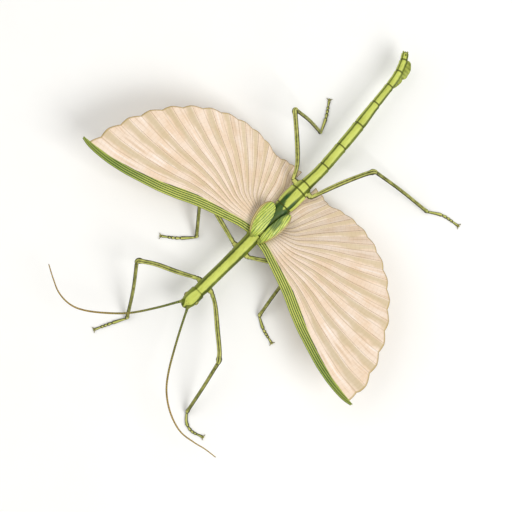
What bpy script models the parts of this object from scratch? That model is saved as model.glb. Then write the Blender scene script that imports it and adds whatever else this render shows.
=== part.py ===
"""Giant winged stick insect: an adult female, life size, standing with both wings spread.

Lengths are in millimetres and become metres when a mesh is written. The head points to -Y,
the tail to +Y, the insect's left side is at +X, and its feet stand at height zero. The wing
roots are at y = 0. One empty carries all pieces and moves the insect so that the middle of
its footprint, at floor level, is the origin.

The cuticle is parted where a person would name a piece: head, three parts of the thorax, the
ten rings of the abdomen, and the coxa, femur, tibia and tarsus of each leg. Neighbours keep a
thin cut between them.
"""

import math

import bmesh
import bpy
from mathutils import Vector

MM = 0.001
UP = Vector((0.0, 0.0, 1.0))

# ---------------------------------------------------------------- driving dimensions, in mm
CUT = 0.3                   # the thin cut between neighbours
BODY_SIDES = 12             # facets round the body
LEG_SIDES = 8               # facets round a leg
FEELER_SIDES = 6            # facets round an antenna or a palp

# The body's midline seen from above: (distance along the body, distance to the left).
MIDLINE = (
    (-62.0, -3.8), (-49.0, -2.7), (-16.0, -0.1), (12.0, 1.5), (36.0, 3.1), (57.0, 4.8),
    (80.0, 4.5), (105.0, 3.2), (124.0, 2.1), (134.0, -0.3), (142.0, -4.4),
)
# Half the body's width, half its height, and its axis's height above the floor.
HALF_WIDTH = (
    (-49.0, 4.2), (-42.0, 4.1), (-30.0, 4.0), (-10.0, 4.4), (5.0, 4.6), (20.0, 5.0),
    (29.0, 5.7), (36.0, 5.5), (39.0, 5.1), (41.3, 4.3), (44.5, 3.85), (57.0, 3.7), (89.0, 3.6),
    (106.0, 2.95), (119.0, 2.7), (136.0, 2.4), (140.5, 2.1),
)
HALF_HEIGHT = (
    (-49.0, 3.6), (-10.0, 3.9), (10.0, 4.0), (36.0, 3.7), (57.0, 3.5), (89.0, 3.3),
    (106.0, 2.8), (119.0, 2.5), (136.0, 2.0), (140.5, 1.7),
)
AXIS_HEIGHT = ((-62.0, 17.6), (0.0, 17.5), (36.0, 17.0), (90.0, 16.6), (142.0, 16.4))

# Where each ring of the body starts and ends, along the body.
THORAX = (("prothorax", -49.0, -41.0), ("mesothorax", -41.0, 0.0), ("metathorax", 0.0, 23.0))
ABDOMEN_ENDS = (23.0, 36.0, 41.5, 57.0, 72.5, 89.4, 105.6, 119.0, 129.2, 136.3, 140.3)

# Wings: root of the fan of veins, place of the wing tip, length of the fan's longest veins, and
# the angle of the inner (anal) edge, measured outwards from straight back.
WINGS = {
    "left": {"sign": 1, "apex": (6.4, -0.8), "tip": (111.0, -39.4), "reach": 111.6, "anal": 4.0},
    "right": {"sign": -1, "apex": (-6.4, 0.8), "tip": (-115.3, -24.6), "reach": 107.0, "anal": -4.0},
}
# Forewings: how far root and tip lie from the body's midline, where the tip is along the body,
# and half the width. The right one lies more over the back.
FOREWINGS = {
    "left": {"root": 4.3, "tip": 7.5, "end": 21.6, "half_width": 3.5},
    "right": {"root": 1.7, "tip": 5.7, "end": 20.4, "half_width": 5.1},
}
FOREWING_ROOT = -2.6        # place of both roots along the body
WING_HEIGHT = 19.3          # of the hinge above the floor
WING_RISE = 0.13            # slope of the outer wing, up and outwards
ANAL_DROOP = -0.22          # slope of the inner lobe, which hangs beside the body
MEMBRANE = 0.55             # thickness of the fan
PLEATS = 14                 # ridges of the fan, one for each main vein

# Legs. hip_drop is how far below the widest point of the body the coxa sits, in degrees.
# femur and tibia are routes between hip, knee and ankle, and tarsus is a route on the floor.
LEGS = {
    "fore_right": {
        "hip": -44.0, "hip_drop": 28.0,
        "femur": ((-20.7, -49.0, 20.6), (-32.6, -53.6, 24.6)),
        "knee": (-42.6, -59.2, 27.0),
        "tibia": ((-32.9, -74.6, 15.2),),
        "ankle": (-24.8, -90.4, 2.1),
        "tarsus": ((-30.4, -99.8), (-35.0, -108.4)),
    },
    "fore_left": {
        "hip": -44.0, "hip_drop": 28.0,
        "femur": ((10.3, -48.9, 18.6), (20.6, -58.6, 22.4), (30.0, -67.4, 25.2)),
        "knee": (34.2, -72.6, 26.0),
        "tibia": ((37.4, -91.0, 14.6),),
        "ankle": (40.0, -109.2, 2.1),
        "tarsus": ((43.9, -114.2), (49.9, -116.2), (56.9, -114.5)),
    },
    "mid_right": {
        "hip": -13.8, "hip_drop": 28.0,
        "femur": ((-24.0, -7.4, 18.4),),
        "knee": (-43.0, -0.5, 20.4),
        "tibia": ((-34.6, -12.6, 11.6),),
        "ankle": (-25.4, -25.7, 2.1),
        "tarsus": ((-33.4, -33.4), (-42.0, -39.3)),
    },
    "mid_left": {
        "hip": -13.8, "hip_drop": 28.0,
        "femur": ((18.0, -7.4, 17.8),),
        "knee": (31.5, 0.3, 19.4),
        "tibia": ((32.6, -18.0, 11.0),),
        "ankle": (34.6, -36.6, 2.1),
        "tarsus": ((42.0, -41.0), (50.8, -43.9)),
    },
    "hind_right": {
        "hip": 38.3, "hip_drop": 8.0,
        "femur": ((-8.3, 47.2, 21.6), (-18.3, 58.2, 28.8)),
        "knee": (-30.9, 70.4, 38.0),
        "tibia": ((-20.4, 71.8, 20.4),),
        "ankle": (-10.4, 71.6, 2.1),
        "tarsus": ((-14.0, 80.6), (-19.4, 89.8)),
    },
    "hind_left": {
        "hip": 38.3, "hip_drop": 8.0,
        "femur": ((18.3, 54.3, 19.4), (25.0, 67.3, 22.8)),
        "knee": (29.3, 74.4, 24.0),
        "tibia": ((48.6, 76.6, 14.2),),
        "ankle": (69.7, 78.0, 2.1),
        "tarsus": ((78.4, 82.6), (89.2, 84.0)),
    },
}
COXA_RADII = (2.1, 1.65)    # at the body and at the femur
COXA_LENGTH = 2.2           # between the centres of its rounded ends
FEMUR_RADII = ((0.0, 1.55), (0.12, 1.35), (0.25, 1.48), (0.5, 1.6), (0.88, 1.5), (1.0, 1.6))
TIBIA_RADII = ((0.0, 1.35), (0.12, 1.25), (0.6, 1.2), (1.0, 1.2))
TARSUS_LENGTHS = (0.42, 0.15, 0.12, 0.1, 0.21)  # shares of the five joints of a tarsus
TARSUS_HALF_WIDTH = 1.12
TARSUS_HEIGHT = 1.55
TARSUS_STEPS = 40           # of the route that its joints are set out on
CLAW_LENGTH = 2.3

# Antennae: routes from the head to the tips, parted into three lengths each.
ANTENNAE = {
    "left": (
        (-1.3, -60.9, 19.8), (3.5, -72.2, 21.6), (9.7, -85.7, 24.0), (16.0, -97.9, 25.6),
        (22.8, -107.2, 26.2), (32.7, -114.9, 25.8), (44.2, -119.4, 24.4), (54.7, -119.0, 22.6),
        (62.4, -117.8, 20.8), (70.3, -117.4, 19.0),
    ),
    "right": (
        (-6.9, -60.7, 19.8), (-15.5, -73.5, 21.8), (-25.7, -86.4, 24.4), (-38.1, -96.9, 26.0),
        (-48.5, -103.4, 26.2), (-56.7, -105.6, 25.4), (-65.4, -104.6, 23.8), (-73.6, -100.6, 21.6),
        (-80.9, -96.3, 19.0),
    ),
}
ANTENNA_RADII = ((0.0, 1.0), (0.03, 0.95), (0.05, 0.78), (0.35, 0.66), (0.7, 0.52), (1.0, 0.34))
ANTENNA_PARTS = (("base", 0.0, 0.3), ("middle", 0.3, 0.65), ("tip", 0.65, 1.0))

# Head and mouthparts: place, half width, half height, and height of the middle.
HEAD = (
    (-49.0 - CUT / 2, 4.1, 3.5, 17.5), (-50.2, 4.5, 3.9, 17.6), (-53.0, 4.7, 4.1, 17.7),
    (-56.0, 4.6, 4.0, 17.5), (-58.4, 4.1, 3.6, 17.2), (-60.2, 3.4, 3.0, 16.9),
    (-61.5, 2.5, 2.3, 16.6), (-62.1, 1.5, 1.4, 16.4),
)
MOUTHPARTS = (
    (-56.6, 1.5, 1.0, 13.2), (-57.8, 2.3, 1.7, 13.2), (-59.4, 2.5, 2.0, 13.4),
    (-61.0, 2.1, 1.8, 13.9), (-62.2, 1.1, 1.2, 14.4),
)
PALP = ((2.95, -58.6, 12.5), (3.3, -60.0, 11.6), (2.9, -61.5, 11.7))
EYE_SPREAD = 3.95           # of each eye's centre from the head's midline
EYE_PLACE = -55.2
EYE_HEIGHT = 18.7
EYE_RADII = (1.3, 1.75, 1.5)

# The scoop under the tail: place, left of the body's origin, half width, half height.
OPERCULUM = (
    (118.6, 2.8, 1.9, 0.9), (121.5, 3.0, 2.9, 1.8), (127.0, 3.3, 3.2, 2.3),
    (132.0, 3.2, 3.5, 2.2), (135.4, 2.5, 3.2, 1.7), (137.6, 1.7, 1.9, 0.9),
)
OPERCULUM_HEIGHT = 14.3     # of its middle above the floor


# ---------------------------------------------------------------- curves and shared helpers
def value_at(table, place):
    """The value at a place in a table of (place, value) pairs, on a curve without overshoot."""
    if place <= table[0][0]:
        return table[0][1]
    if place >= table[-1][0]:
        return table[-1][1]
    steps = [(b[1] - a[1]) / (b[0] - a[0]) for a, b in zip(table, table[1:])]
    slopes = [steps[0]]
    for before, after in zip(steps, steps[1:]):
        same_way = before * after > 0.0
        slopes.append(2.0 * before * after / (before + after) if same_way else 0.0)
    slopes.append(steps[-1])
    index = max(i for i in range(len(steps)) if table[i][0] <= place)
    start, end = table[index], table[index + 1]
    span = end[0] - start[0]
    t = (place - start[0]) / span
    return (
        start[1] * (1 + 2 * t) * (1 - t) ** 2
        + slopes[index] * span * t * (1 - t) ** 2
        + end[1] * t * t * (3 - 2 * t)
        + slopes[index + 1] * span * t * t * (t - 1)
    )


def smooth_route(points, count):
    """Points evenly spaced along a smooth curve through the given points."""
    knots = [Vector(p) for p in points]
    knots = [2 * knots[0] - knots[1]] + knots + [2 * knots[-1] - knots[-2]]
    fine = []
    for a, b, c, d in zip(knots, knots[1:], knots[2:], knots[3:]):
        for step in range(12):
            t = step / 12
            fine.append(0.5 * (
                2 * b + (c - a) * t + (2 * a - 5 * b + 4 * c - d) * t * t
                + (3 * b - a - 3 * c + d) * t ** 3
            ))
    fine.append(knots[-2])
    reach = [0.0]
    for a, b in zip(fine, fine[1:]):
        reach.append(reach[-1] + (b - a).length)
    route = []
    for i in range(count):
        goal = reach[-1] * i / (count - 1)
        k = max(j for j in range(len(fine) - 1) if reach[j] <= goal + 1e-9)
        share = (goal - reach[k]) / (reach[k + 1] - reach[k])
        route.append(fine[k].lerp(fine[k + 1], min(share, 1.0)))
    return route


def tangents(route):
    """The direction of a route at each of its points."""
    last = len(route) - 1
    return [(route[min(i + 1, last)] - route[max(i - 1, 0)]).normalized() for i in range(last + 1)]


def ring(centre, tangent, half_width, half_height, sides, power=2.0):
    """A closed ring of points square to the tangent: an ellipse, or boxier with more power."""
    side = tangent.cross(UP).normalized()
    rise = side.cross(tangent)
    points = []
    for i in range(sides):
        angle = 2 * math.pi * (i + 0.5) / sides
        across, above = math.cos(angle), math.sin(angle)
        across = math.copysign(abs(across) ** (2 / power), across) * half_width
        above = math.copysign(abs(above) ** (2 / power), above) * half_height
        points.append(centre + side * across + rise * above)
    return points


def finish_mesh(name, bm, finish):
    """Turns a bmesh in millimetres into an object with one material, carried by the empty."""
    bmesh.ops.recalc_face_normals(bm, faces=bm.faces)
    bmesh.ops.scale(bm, vec=(MM, MM, MM), verts=bm.verts)
    mesh = bpy.data.meshes.new(name)
    bm.to_mesh(mesh)
    bm.free()
    mesh.shade_smooth()
    mesh.set_sharp_from_angle(angle=math.radians(45))
    mesh.materials.append(finish)
    piece = bpy.data.objects.new(name, mesh)
    bpy.context.scene.collection.objects.link(piece)
    piece.parent = bpy.data.objects["stick_insect"]
    return piece


def skin_rings(rings, start_pole=None, end_pole=None):
    """A bmesh of faces between rings, closed by a flat cap or by a pole at each end."""
    bm = bmesh.new()
    loops = [[bm.verts.new(point) for point in points] for points in rings]
    sides = len(loops[0])
    for near, far in zip(loops, loops[1:]):
        for i in range(sides):
            j = (i + 1) % sides
            bm.faces.new((near[i], near[j], far[j], far[i]))
    for loop, pole in ((loops[0], start_pole), (loops[-1], end_pole)):
        if pole is None:
            bm.faces.new(loop)
            continue
        tip = bm.verts.new(pole)
        for i in range(sides):
            bm.faces.new((loop[i], loop[(i + 1) % sides], tip))
    return bm


def limb(name, route, radii, sides, finish, start_cut=None):
    """A round tapered piece with rounded ends, its radii given along its length.

    Where start_cut is given, the piece starts with a flat face square to that direction.
    """
    directions = tangents(route)
    if start_cut is not None:
        directions[0] = start_cut
    last = len(route) - 1
    rings = []
    for i, (point, direction) in enumerate(zip(route, directions)):
        radius = value_at(radii, i / last)
        rings.append(ring(point, direction, radius, radius, sides))
    poles = [None, None]
    for end, index, way in ((0, 0, -1), (1, last, 1)):
        if start_cut is not None and end == 0:
            continue
        radius = value_at(radii, index / last)
        outward = directions[index] * way
        shoulder = radius * math.sqrt(0.5)
        cap = ring(route[index] + outward * shoulder, directions[index], shoulder, shoulder, sides)
        rings.insert(0 if end == 0 else len(rings), cap)
        poles[end] = route[index] + outward * radius
    return finish_mesh(name, skin_rings(rings, *poles), finish)


def sheet(name, top, thickness, finish):
    """A thin solid under a grid of top points, closed along all four edges."""
    bm = bmesh.new()
    upper = [[bm.verts.new(point) for point in row] for row in top]
    lower = [[bm.verts.new(point - UP * thickness) for point in row] for row in top]
    rows, columns = len(top), len(top[0])
    for grid in (upper, lower):
        for i in range(rows - 1):
            for j in range(columns - 1):
                bm.faces.new((grid[i][j], grid[i + 1][j], grid[i + 1][j + 1], grid[i][j + 1]))
    border = [(i, 0) for i in range(rows)]
    border += [(rows - 1, j) for j in range(1, columns)]
    border += [(i, columns - 1) for i in range(rows - 2, -1, -1)]
    border += [(0, j) for j in range(columns - 2, 0, -1)]
    for (i, j), (k, m) in zip(border, border[1:] + border[:1]):
        bm.faces.new((upper[i][j], upper[k][m], lower[k][m], lower[i][j]))
    return finish_mesh(name, bm, finish)


def ellipsoid(name, centre, radii, around, along, finish):
    """A closed ellipsoid with its poles across the body."""
    rings = []
    for i in range(1, along):
        angle = math.pi * i / along
        middle = centre - Vector((radii[0] * math.cos(angle), 0, 0))
        width, height = radii[1] * math.sin(angle), radii[2] * math.sin(angle)
        rings.append(ring(middle, Vector((1, 0, 0)), width, height, around))
    pole = Vector((radii[0], 0, 0))
    return finish_mesh(name, skin_rings(rings, centre - pole, centre + pole), finish)


def carve(piece, cutter):
    """Takes a hidden cutter's shape out of a piece."""
    cutter.hide_render = True
    cutter.display_type = "WIRE"
    cut = piece.modifiers.new("carve_" + cutter.name, "BOOLEAN")
    cut.operation = "DIFFERENCE"
    cut.object = cutter


def make_finish(name, colour, roughness):
    """A plain material from an sRGB hex colour."""
    linear = []
    for i in (0, 2, 4):
        level = int(colour[i:i + 2], 16) / 255
        linear.append(level / 12.92 if level <= 0.04045 else ((level + 0.055) / 1.055) ** 2.4)
    material = bpy.data.materials.new(name)
    material.use_nodes = True
    shader = material.node_tree.nodes["Principled BSDF"]
    shader.inputs["Base Color"].default_value = (*linear, 1.0)
    shader.inputs["Roughness"].default_value = roughness
    material.diffuse_color = (*linear, 1.0)
    return material


# ---------------------------------------------------------------- body
def on_midline(place):
    """A point of the body's axis, and the axis's direction there."""
    def point(y):
        return Vector((value_at(MIDLINE, y), y, value_at(AXIS_HEIGHT, y)))
    return point(place), (point(place + 0.5) - point(place - 0.5)).normalized()


def body_ring(place, swell=1.0, grow=0.0):
    """The body's outline at a place, swollen by a factor and grown by a distance."""
    centre, direction = on_midline(place)
    half_width = value_at(HALF_WIDTH, place) * swell + grow
    half_height = value_at(HALF_HEIGHT, place) * swell + grow
    return ring(centre, direction, half_width, half_height, BODY_SIDES, power=2.25)


def body_part(name, start, end, finish, middles=1):
    """One ring of the body: a soft waist, a raised hind rim, and a thin cut at each end."""
    first, last = start + CUT / 2, end - CUT / 2
    shape = [(0.0, 0.93), (0.05, 0.985)]
    shape += [(0.05 + 0.83 * (i + 1) / (middles + 1), 0.985) for i in range(middles)]
    shape += [(0.9, 1.015), (1.0, 0.95)]
    rings = [body_ring(first + (last - first) * share, swell) for share, swell in shape]
    return finish_mesh(name, skin_rings(rings), finish)


def make_thorax(finish):
    for name, start, end in THORAX:
        body_part(name, start, end, finish, middles=5 if name == "mesothorax" else 2)


def make_abdomen(finish):
    for number, (start, end) in enumerate(zip(ABDOMEN_ENDS, ABDOMEN_ENDS[1:]), start=1):
        body_part(f"abdomen_{number}", start, end, finish)


def make_operculum(finish):
    """The keeled plate under the last rings, whose left side shows past them."""
    rings = []
    for place, left, half_width, half_height in OPERCULUM:
        centre = Vector((left, place, OPERCULUM_HEIGHT))
        rings.append(ring(centre, Vector((0, 1, 0)), half_width, half_height, 10))
    plate = finish_mesh("operculum", skin_rings(rings), finish)
    places = (112.0, 117.0, 121.0, 125.0, 129.0, 132.0, 134.5, 137.0, 140.2)
    tail = finish_mesh(
        "room_for_tail", skin_rings([body_ring(y, 1.02, CUT) for y in places]), finish)
    carve(plate, tail)


def make_cerci(finish):
    """Two small leaf-shaped feelers on the tail."""
    end, direction = on_midline(ABDOMEN_ENDS[-1])
    side = direction.cross(UP).normalized()
    for name, way in (("cercus_right", -1), ("cercus_left", 1)):
        rings = []
        for along, half_width in ((0.15, 0.5), (0.6, 0.62), (1.0, 0.5), (1.35, 0.25)):
            centre = end + direction * along + side * way * 1.15
            rings.append(ring(centre, direction, half_width, 0.32, 6))
        finish_mesh(name, skin_rings(rings), finish)


# ---------------------------------------------------------------- head
def head_rings(shape, sides, grow=0.0):
    """Rings from rows of place, half width, half height and height of the middle."""
    rings = []
    for place, half_width, half_height, height in shape:
        centre, direction = on_midline(place)
        centre.z = height
        rings.append(ring(centre, direction, half_width + grow, half_height + grow, sides, 2.2))
    return rings


def make_head(skin, eye_finish):
    """The capsule of the head, with a socket for each eye."""
    head = finish_mesh("head", skin_rings(head_rings(HEAD, 14)), skin)
    middle, _ = on_midline(EYE_PLACE)
    for name, way in (("right", -1), ("left", 1)):
        centre = Vector((middle.x + way * EYE_SPREAD, EYE_PLACE, EYE_HEIGHT))
        ellipsoid("eye_" + name, centre, EYE_RADII, 12, 6, eye_finish)
        room = [radius + CUT for radius in EYE_RADII]
        carve(head, ellipsoid("socket_" + name, centre, room, 12, 6, skin))


def make_mouthparts(finish):
    """Jaws and lip under the front of the head, with a palp at each side."""
    jaws = finish_mesh("mouthparts", skin_rings(head_rings(MOUTHPARTS, 10)), finish)
    carve(jaws, finish_mesh("room_for_head", skin_rings(head_rings(HEAD, 14, CUT)), finish))
    middle, _ = on_midline(-59.5)
    for name, way in (("palp_right", -1), ("palp_left", 1)):
        points = [(middle.x + way * across, place, height) for across, place, height in PALP]
        limb(name, smooth_route(points, 5), ((0, 0.36), (1, 0.3)), FEELER_SIDES, finish)


def make_antennae(finish):
    """Each antenna is one long bristle, parted into three lengths."""
    count = 28                  # rings along a whole antenna
    for side, points in ANTENNAE.items():
        route = smooth_route(points, count)
        directions = tangents(route)
        for part, start, end in ANTENNA_PARTS:
            first, last = round(start * (count - 1)), round(end * (count - 1))
            loops = []
            for i in range(first, last + 1):
                point, radius = route[i], value_at(ANTENNA_RADII, i / (count - 1))
                if i == first > 0:
                    point = point + directions[i] * CUT / 2
                if i == last < count - 1:
                    point = point - directions[i] * CUT / 2
                loops.append(ring(point, directions[i], radius, radius, FEELER_SIDES))
            finish_mesh(f"antenna_{side}_{part}", skin_rings(loops), finish)


# ---------------------------------------------------------------- legs
def hip_place(place, drop, way):
    """Where a coxa leaves the body, and its direction: square to the body's side."""
    centre, direction = on_midline(place)
    side = direction.cross(UP).normalized() * way
    half_width, half_height = value_at(HALF_WIDTH, place), value_at(HALF_HEIGHT, place)
    angle = math.radians(-drop)
    outward = side * math.cos(angle) / half_width + UP * math.sin(angle) / half_height
    point = centre + side * half_width * math.cos(angle) + UP * half_height * math.sin(angle)
    return point, outward.normalized()


def part_at(before, joint, after, radius_before, radius_after):
    """Centres of the two rounded ends that face each other at a joint, a thin cut apart."""
    way = ((joint - before).normalized() + (after - joint).normalized()).normalized()
    reach = (radius_before + radius_after + CUT) / 2
    return joint - way * reach, joint + way * reach


def make_tarsus(name, ankle, floor_points, finish):
    """Five joints that lie on the floor on small flats, and two spread claws."""
    start = Vector((ankle.x, ankle.y, 0))
    route = smooth_route([start] + [(x, y, 0) for x, y in floor_points], TARSUS_STEPS + 1)
    total = sum((b - a).length for a, b in zip(route, route[1:]))
    lead = (TIBIA_RADII[-1][1] + CUT + 0.1) / total     # room for the end of the tibia
    directions = tangents(route)

    def section(share, wide, tall, lift):
        index = min(share, 1.0) * TARSUS_STEPS
        low = min(int(index), TARSUS_STEPS - 1)
        point = route[low].lerp(route[low + 1], index - low)
        side = directions[low].lerp(directions[low + 1], index - low).cross(UP).normalized()
        outline = (
            (-0.5, 0), (0.5, 0), (1, 0.3), (1, 0.66), (0.55, 1), (-0.55, 1), (-1, 0.66), (-1, 0.3),
        )
        return [point + side * wide * x + UP * (lift + (tall - lift) * z) for x, z in outline]

    loops = []
    reached = lead
    for number, length in enumerate(TARSUS_LENGTHS):
        end = reached + length * (1 - lead)
        taper = 1 - 0.05 * number
        wide, tall = TARSUS_HALF_WIDTH * taper, TARSUS_HEIGHT * taper
        if number:
            loops.append(section(reached + 0.004, wide * 0.7, tall * 0.8, 0.14))
        loops.append(section(reached + 0.02, wide * 0.8, tall * 0.86, 0.0))
        loops.append(section(end - 0.02, wide, tall, 0.0))
        reached = end
    bm = skin_rings(loops)
    grow_claws(bm, directions[-1])
    finish_mesh(name, bm, finish)


def grow_claws(bm, direction):
    """Extrudes a claw from each side of the last face, spread and hooked down."""
    side = direction.cross(UP).normalized()
    bm.faces.ensure_lookup_table()
    end_face = bm.faces[-1]
    loop = list(end_face.verts)
    bm.faces.remove(end_face)
    bm.faces.new((loop[0], loop[1], loop[4], loop[5]))
    for corners, way in (((1, 2, 3, 4), 1), ((5, 6, 7, 0), -1)):
        face = bm.faces.new([loop[i] for i in corners])
        for forward, outward, drop, size in ((0.4, 0.3, 0.05, 0.75), (0.35, 0.3, 0.2, 0.6)):
            made = bmesh.ops.extrude_discrete_faces(bm, faces=[face])
            face = made["faces"][0]
            middle = face.calc_center_median()
            goal = middle + CLAW_LENGTH * (direction * forward + side * way * outward - UP * drop)
            goal.z = max(goal.z, 0.4)
            for vert in face.verts:
                vert.co = goal + (vert.co - middle) * size


def make_leg(name, leg, finish, foot_finish):
    """Coxa, femur, tibia and tarsus of one leg."""
    way = 1 if name.endswith("left") else -1
    root, outward = hip_place(leg["hip"], leg["hip_drop"], way)
    femur_points = [Vector(p) for p in leg["femur"]]
    tibia_points = [Vector(p) for p in leg["tibia"]]
    knee, ankle = Vector(leg["knee"]), Vector(leg["ankle"])
    femur_start, femur_end = FEMUR_RADII[0][1], FEMUR_RADII[-1][1]

    inner = root + outward * (CUT + 0.05)
    shoulder = inner + outward * COXA_LENGTH
    toward = (outward + (femur_points[0] - shoulder).normalized()).normalized()
    coxa_rings = []
    for share in (0.0, 0.3, 0.58):
        radius = COXA_RADII[0] + (COXA_RADII[1] - COXA_RADII[0]) * share
        centre = inner.lerp(shoulder, share)
        coxa_rings.append(ring(centre, outward, radius, radius, LEG_SIDES))
    radius = COXA_RADII[1]
    coxa_rings.append(ring(shoulder - toward * CUT / 2, toward, radius, radius, LEG_SIDES))
    finish_mesh(f"{name}_coxa", skin_rings(coxa_rings), finish)

    hip = shoulder + toward * CUT / 2
    femur_tip, tibia_top = part_at(femur_points[-1], knee, tibia_points[0], femur_end,
                                   TIBIA_RADII[0][1])
    limb(f"{name}_femur", smooth_route([hip] + femur_points + [femur_tip], 9), FEMUR_RADII,
         LEG_SIDES, finish, start_cut=toward)
    limb(f"{name}_tibia", smooth_route([tibia_top] + tibia_points + [ankle], 6), TIBIA_RADII,
         LEG_SIDES, finish)
    make_tarsus(f"{name}_tarsus", ankle, leg["tarsus"], foot_finish)


# ---------------------------------------------------------------- wings
# The stiff front band of a hind wing: shares of the wing's length, and how far its two edges
# lie in front of the straight line from root to tip.
FRONT_EDGE = (
    (0.0, 3.2), (0.2, 4.2), (0.3, 5.0), (0.42, 6.9), (0.54, 8.0), (0.7, 8.2), (0.81, 7.3),
    (0.9, 5.5), (0.955, 3.6), (1.0, 0.9),
)
BAND_HIND_EDGE = (
    (0.0, -0.8), (0.3, -1.3), (0.38, -0.6), (0.46, 0.9), (0.56, 2.4), (0.7, 3.2), (0.8, 3.1),
    (0.9, 1.8), (0.96, 0.6), (1.0, -0.3),
)
FAN_SHRINK = 0.741          # how much shorter each vein is, per degree away from the band
LOBE_REACH = 45.0           # length of the veins of the inner lobe
TIP_SHARE = 0.97            # no vein reaches further than this share of the wing's length


def wing_frame(wing):
    """Root, direction to the tip, direction to the front, length, and angle from straight back."""
    apex, tip = Vector(wing["apex"]), Vector(wing["tip"])
    along = (tip - apex).normalized()
    front = Vector((along.y, -along.x)) * wing["sign"]
    angle = math.degrees(math.atan2(along.x * wing["sign"], along.y))
    return apex, along, front, (tip - apex).length, angle


def wing_height(wing, x, y):
    """Height of the wing's surface: the outer wing rises, the inner lobe droops."""
    apex = wing["apex"]
    out, back = (x - apex[0]) * wing["sign"], y - apex[1]
    angle = math.degrees(math.atan2(out, back))
    share = min(max((angle - 8.0) / 57.0, 0.0), 1.0)
    slope = ANAL_DROOP + (WING_RISE - ANAL_DROOP) * share * share * (3 - 2 * share)
    return WING_HEIGHT + math.hypot(out, back) * slope


def make_front_band(side, wing, finish):
    """The green leathery band along the front of a hind wing, thick at its hinge."""
    apex, along, front, length, _ = wing_frame(wing)
    middle = value_at(MIDLINE, 0.0)
    rings = []
    shares = (0.035, 0.1, 0.18, 0.26, 0.34, 0.42, 0.5, 0.58, 0.66, 0.74, 0.82, 0.9, 0.96, 0.995)
    hinge_x = middle + wing["sign"] * (value_at(HALF_WIDTH, 0.0) + CUT)
    for share in (None,) + shares:
        if share is None:
            nose, tail = Vector((hinge_x, apex.y - 4.0)), Vector((hinge_x, apex.y + 0.4))
            ridge = 0.9
        else:
            base = apex + along * length * share
            nose = base + front * value_at(FRONT_EDGE, share)
            tail = base + front * (value_at(BAND_HIND_EDGE, share) + 0.02)
            ridge = 0.85 - 0.45 * share
        outline = ((nose, 0.0), (nose.lerp(tail, 0.3), ridge), (tail, 0.3), (tail, -0.32),
                   (nose.lerp(tail, 0.3), -0.4))
        rings.append([
            Vector((p.x, p.y, wing_height(wing, p.x, p.y) + lift)) for p, lift in outline
        ])
    finish_mesh(f"hindwing_{side}_front_band", skin_rings(rings), finish)


def make_fan(side, wing, finish):
    """The pleated fan behind the band: a ridge for each main vein, a groove between."""
    apex, along, front, length, angle = wing_frame(wing)
    spread = angle - wing["anal"]
    columns = 2 * PLEATS
    shares = (0.16, 0.34, 0.52, 0.7, 0.86, 1.0)
    rows = []
    hinge_x = value_at(MIDLINE, 4.0) + wing["sign"] * (value_at(HALF_WIDTH, 4.0) + CUT)
    root = []
    for column in range(columns + 1):
        y = apex.y + 2.0 + 7.6 * column / columns
        root.append(Vector((hinge_x, y, WING_HEIGHT)))
    rows.append(root)
    for share in shares:
        row = []
        for column in range(columns + 1):
            part = column / columns
            turn = spread * part
            reach = max(wing["reach"] - FAN_SHRINK * turn, LOBE_REACH)
            reach = min(reach, TIP_SHARE * length)
            if column % 2:
                reach *= 0.985                      # the edge is scalloped between the veins
            reach *= share
            edge = value_at(BAND_HIND_EDGE, reach / length) - 1.5 * CUT
            first = -math.asin(max(min(edge / reach, 0.9), -0.9))
            heading = first + (math.radians(spread) - first) * part
            point = apex + (along * math.cos(heading) - front * math.sin(heading)) * reach
            pleat = (0.5 if column % 2 == 0 else -0.5) * 1.1 * reach / 80.0
            if column == 0:
                pleat = 0.0
            row.append(Vector((point.x, point.y, wing_height(wing, point.x, point.y) + pleat)))
        rows.append(row)
    sheet(f"hindwing_{side}_fan", rows, MEMBRANE, finish)


def make_tegmen(side, sign, forewing, finish):
    """The short leathery forewing that lies over the root of the hind wing."""
    middle = value_at(MIDLINE, 8.0)
    root = Vector((middle + sign * forewing["root"], FOREWING_ROOT))
    tip = Vector((middle + sign * forewing["tip"], forewing["end"]))
    along = (tip - root).normalized()
    outward = Vector((along.y, -along.x)) * sign
    fullness = ((0.0, 0.4), (0.14, 0.74), (0.42, 1.0), (0.7, 0.96), (0.88, 0.72), (1.0, 0.26))
    crown = ((0.0, 22.9), (0.25, 23.6), (0.5, 23.6), (0.8, 23.0), (1.0, 22.4))
    rows = []
    for share in (0.0, 0.12, 0.28, 0.45, 0.62, 0.78, 0.9, 1.0):
        base = root.lerp(tip, share)
        half_width = value_at(fullness, share) * forewing["half_width"]
        row = []
        for across in (-1.0, -0.5, 0.0, 0.5, 1.0):
            point = base + outward * half_width * across
            height = value_at(crown, share) - 0.2 * across * across * half_width
            row.append(Vector((point.x, point.y, height)))
        rows.append(row)
    sheet(f"tegmen_{side}", rows, 0.6, finish)


# ---------------------------------------------------------------- the whole insect
def clear_scene():
    for thing in list(bpy.data.objects):
        bpy.data.objects.remove(thing, do_unlink=True)


def stand_on_origin(carrier):
    """Moves the carrier so that the middle of the footprint, at floor level, is the origin."""
    corners = [
        vertex.co for piece in carrier.children if not piece.hide_render
        for vertex in piece.data.vertices
    ]
    low = [min(corner[axis] for corner in corners) for axis in range(3)]
    high = [max(corner[axis] for corner in corners) for axis in range(3)]
    carrier.location = (-(low[0] + high[0]) / 2, -(low[1] + high[1]) / 2, -low[2])


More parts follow.
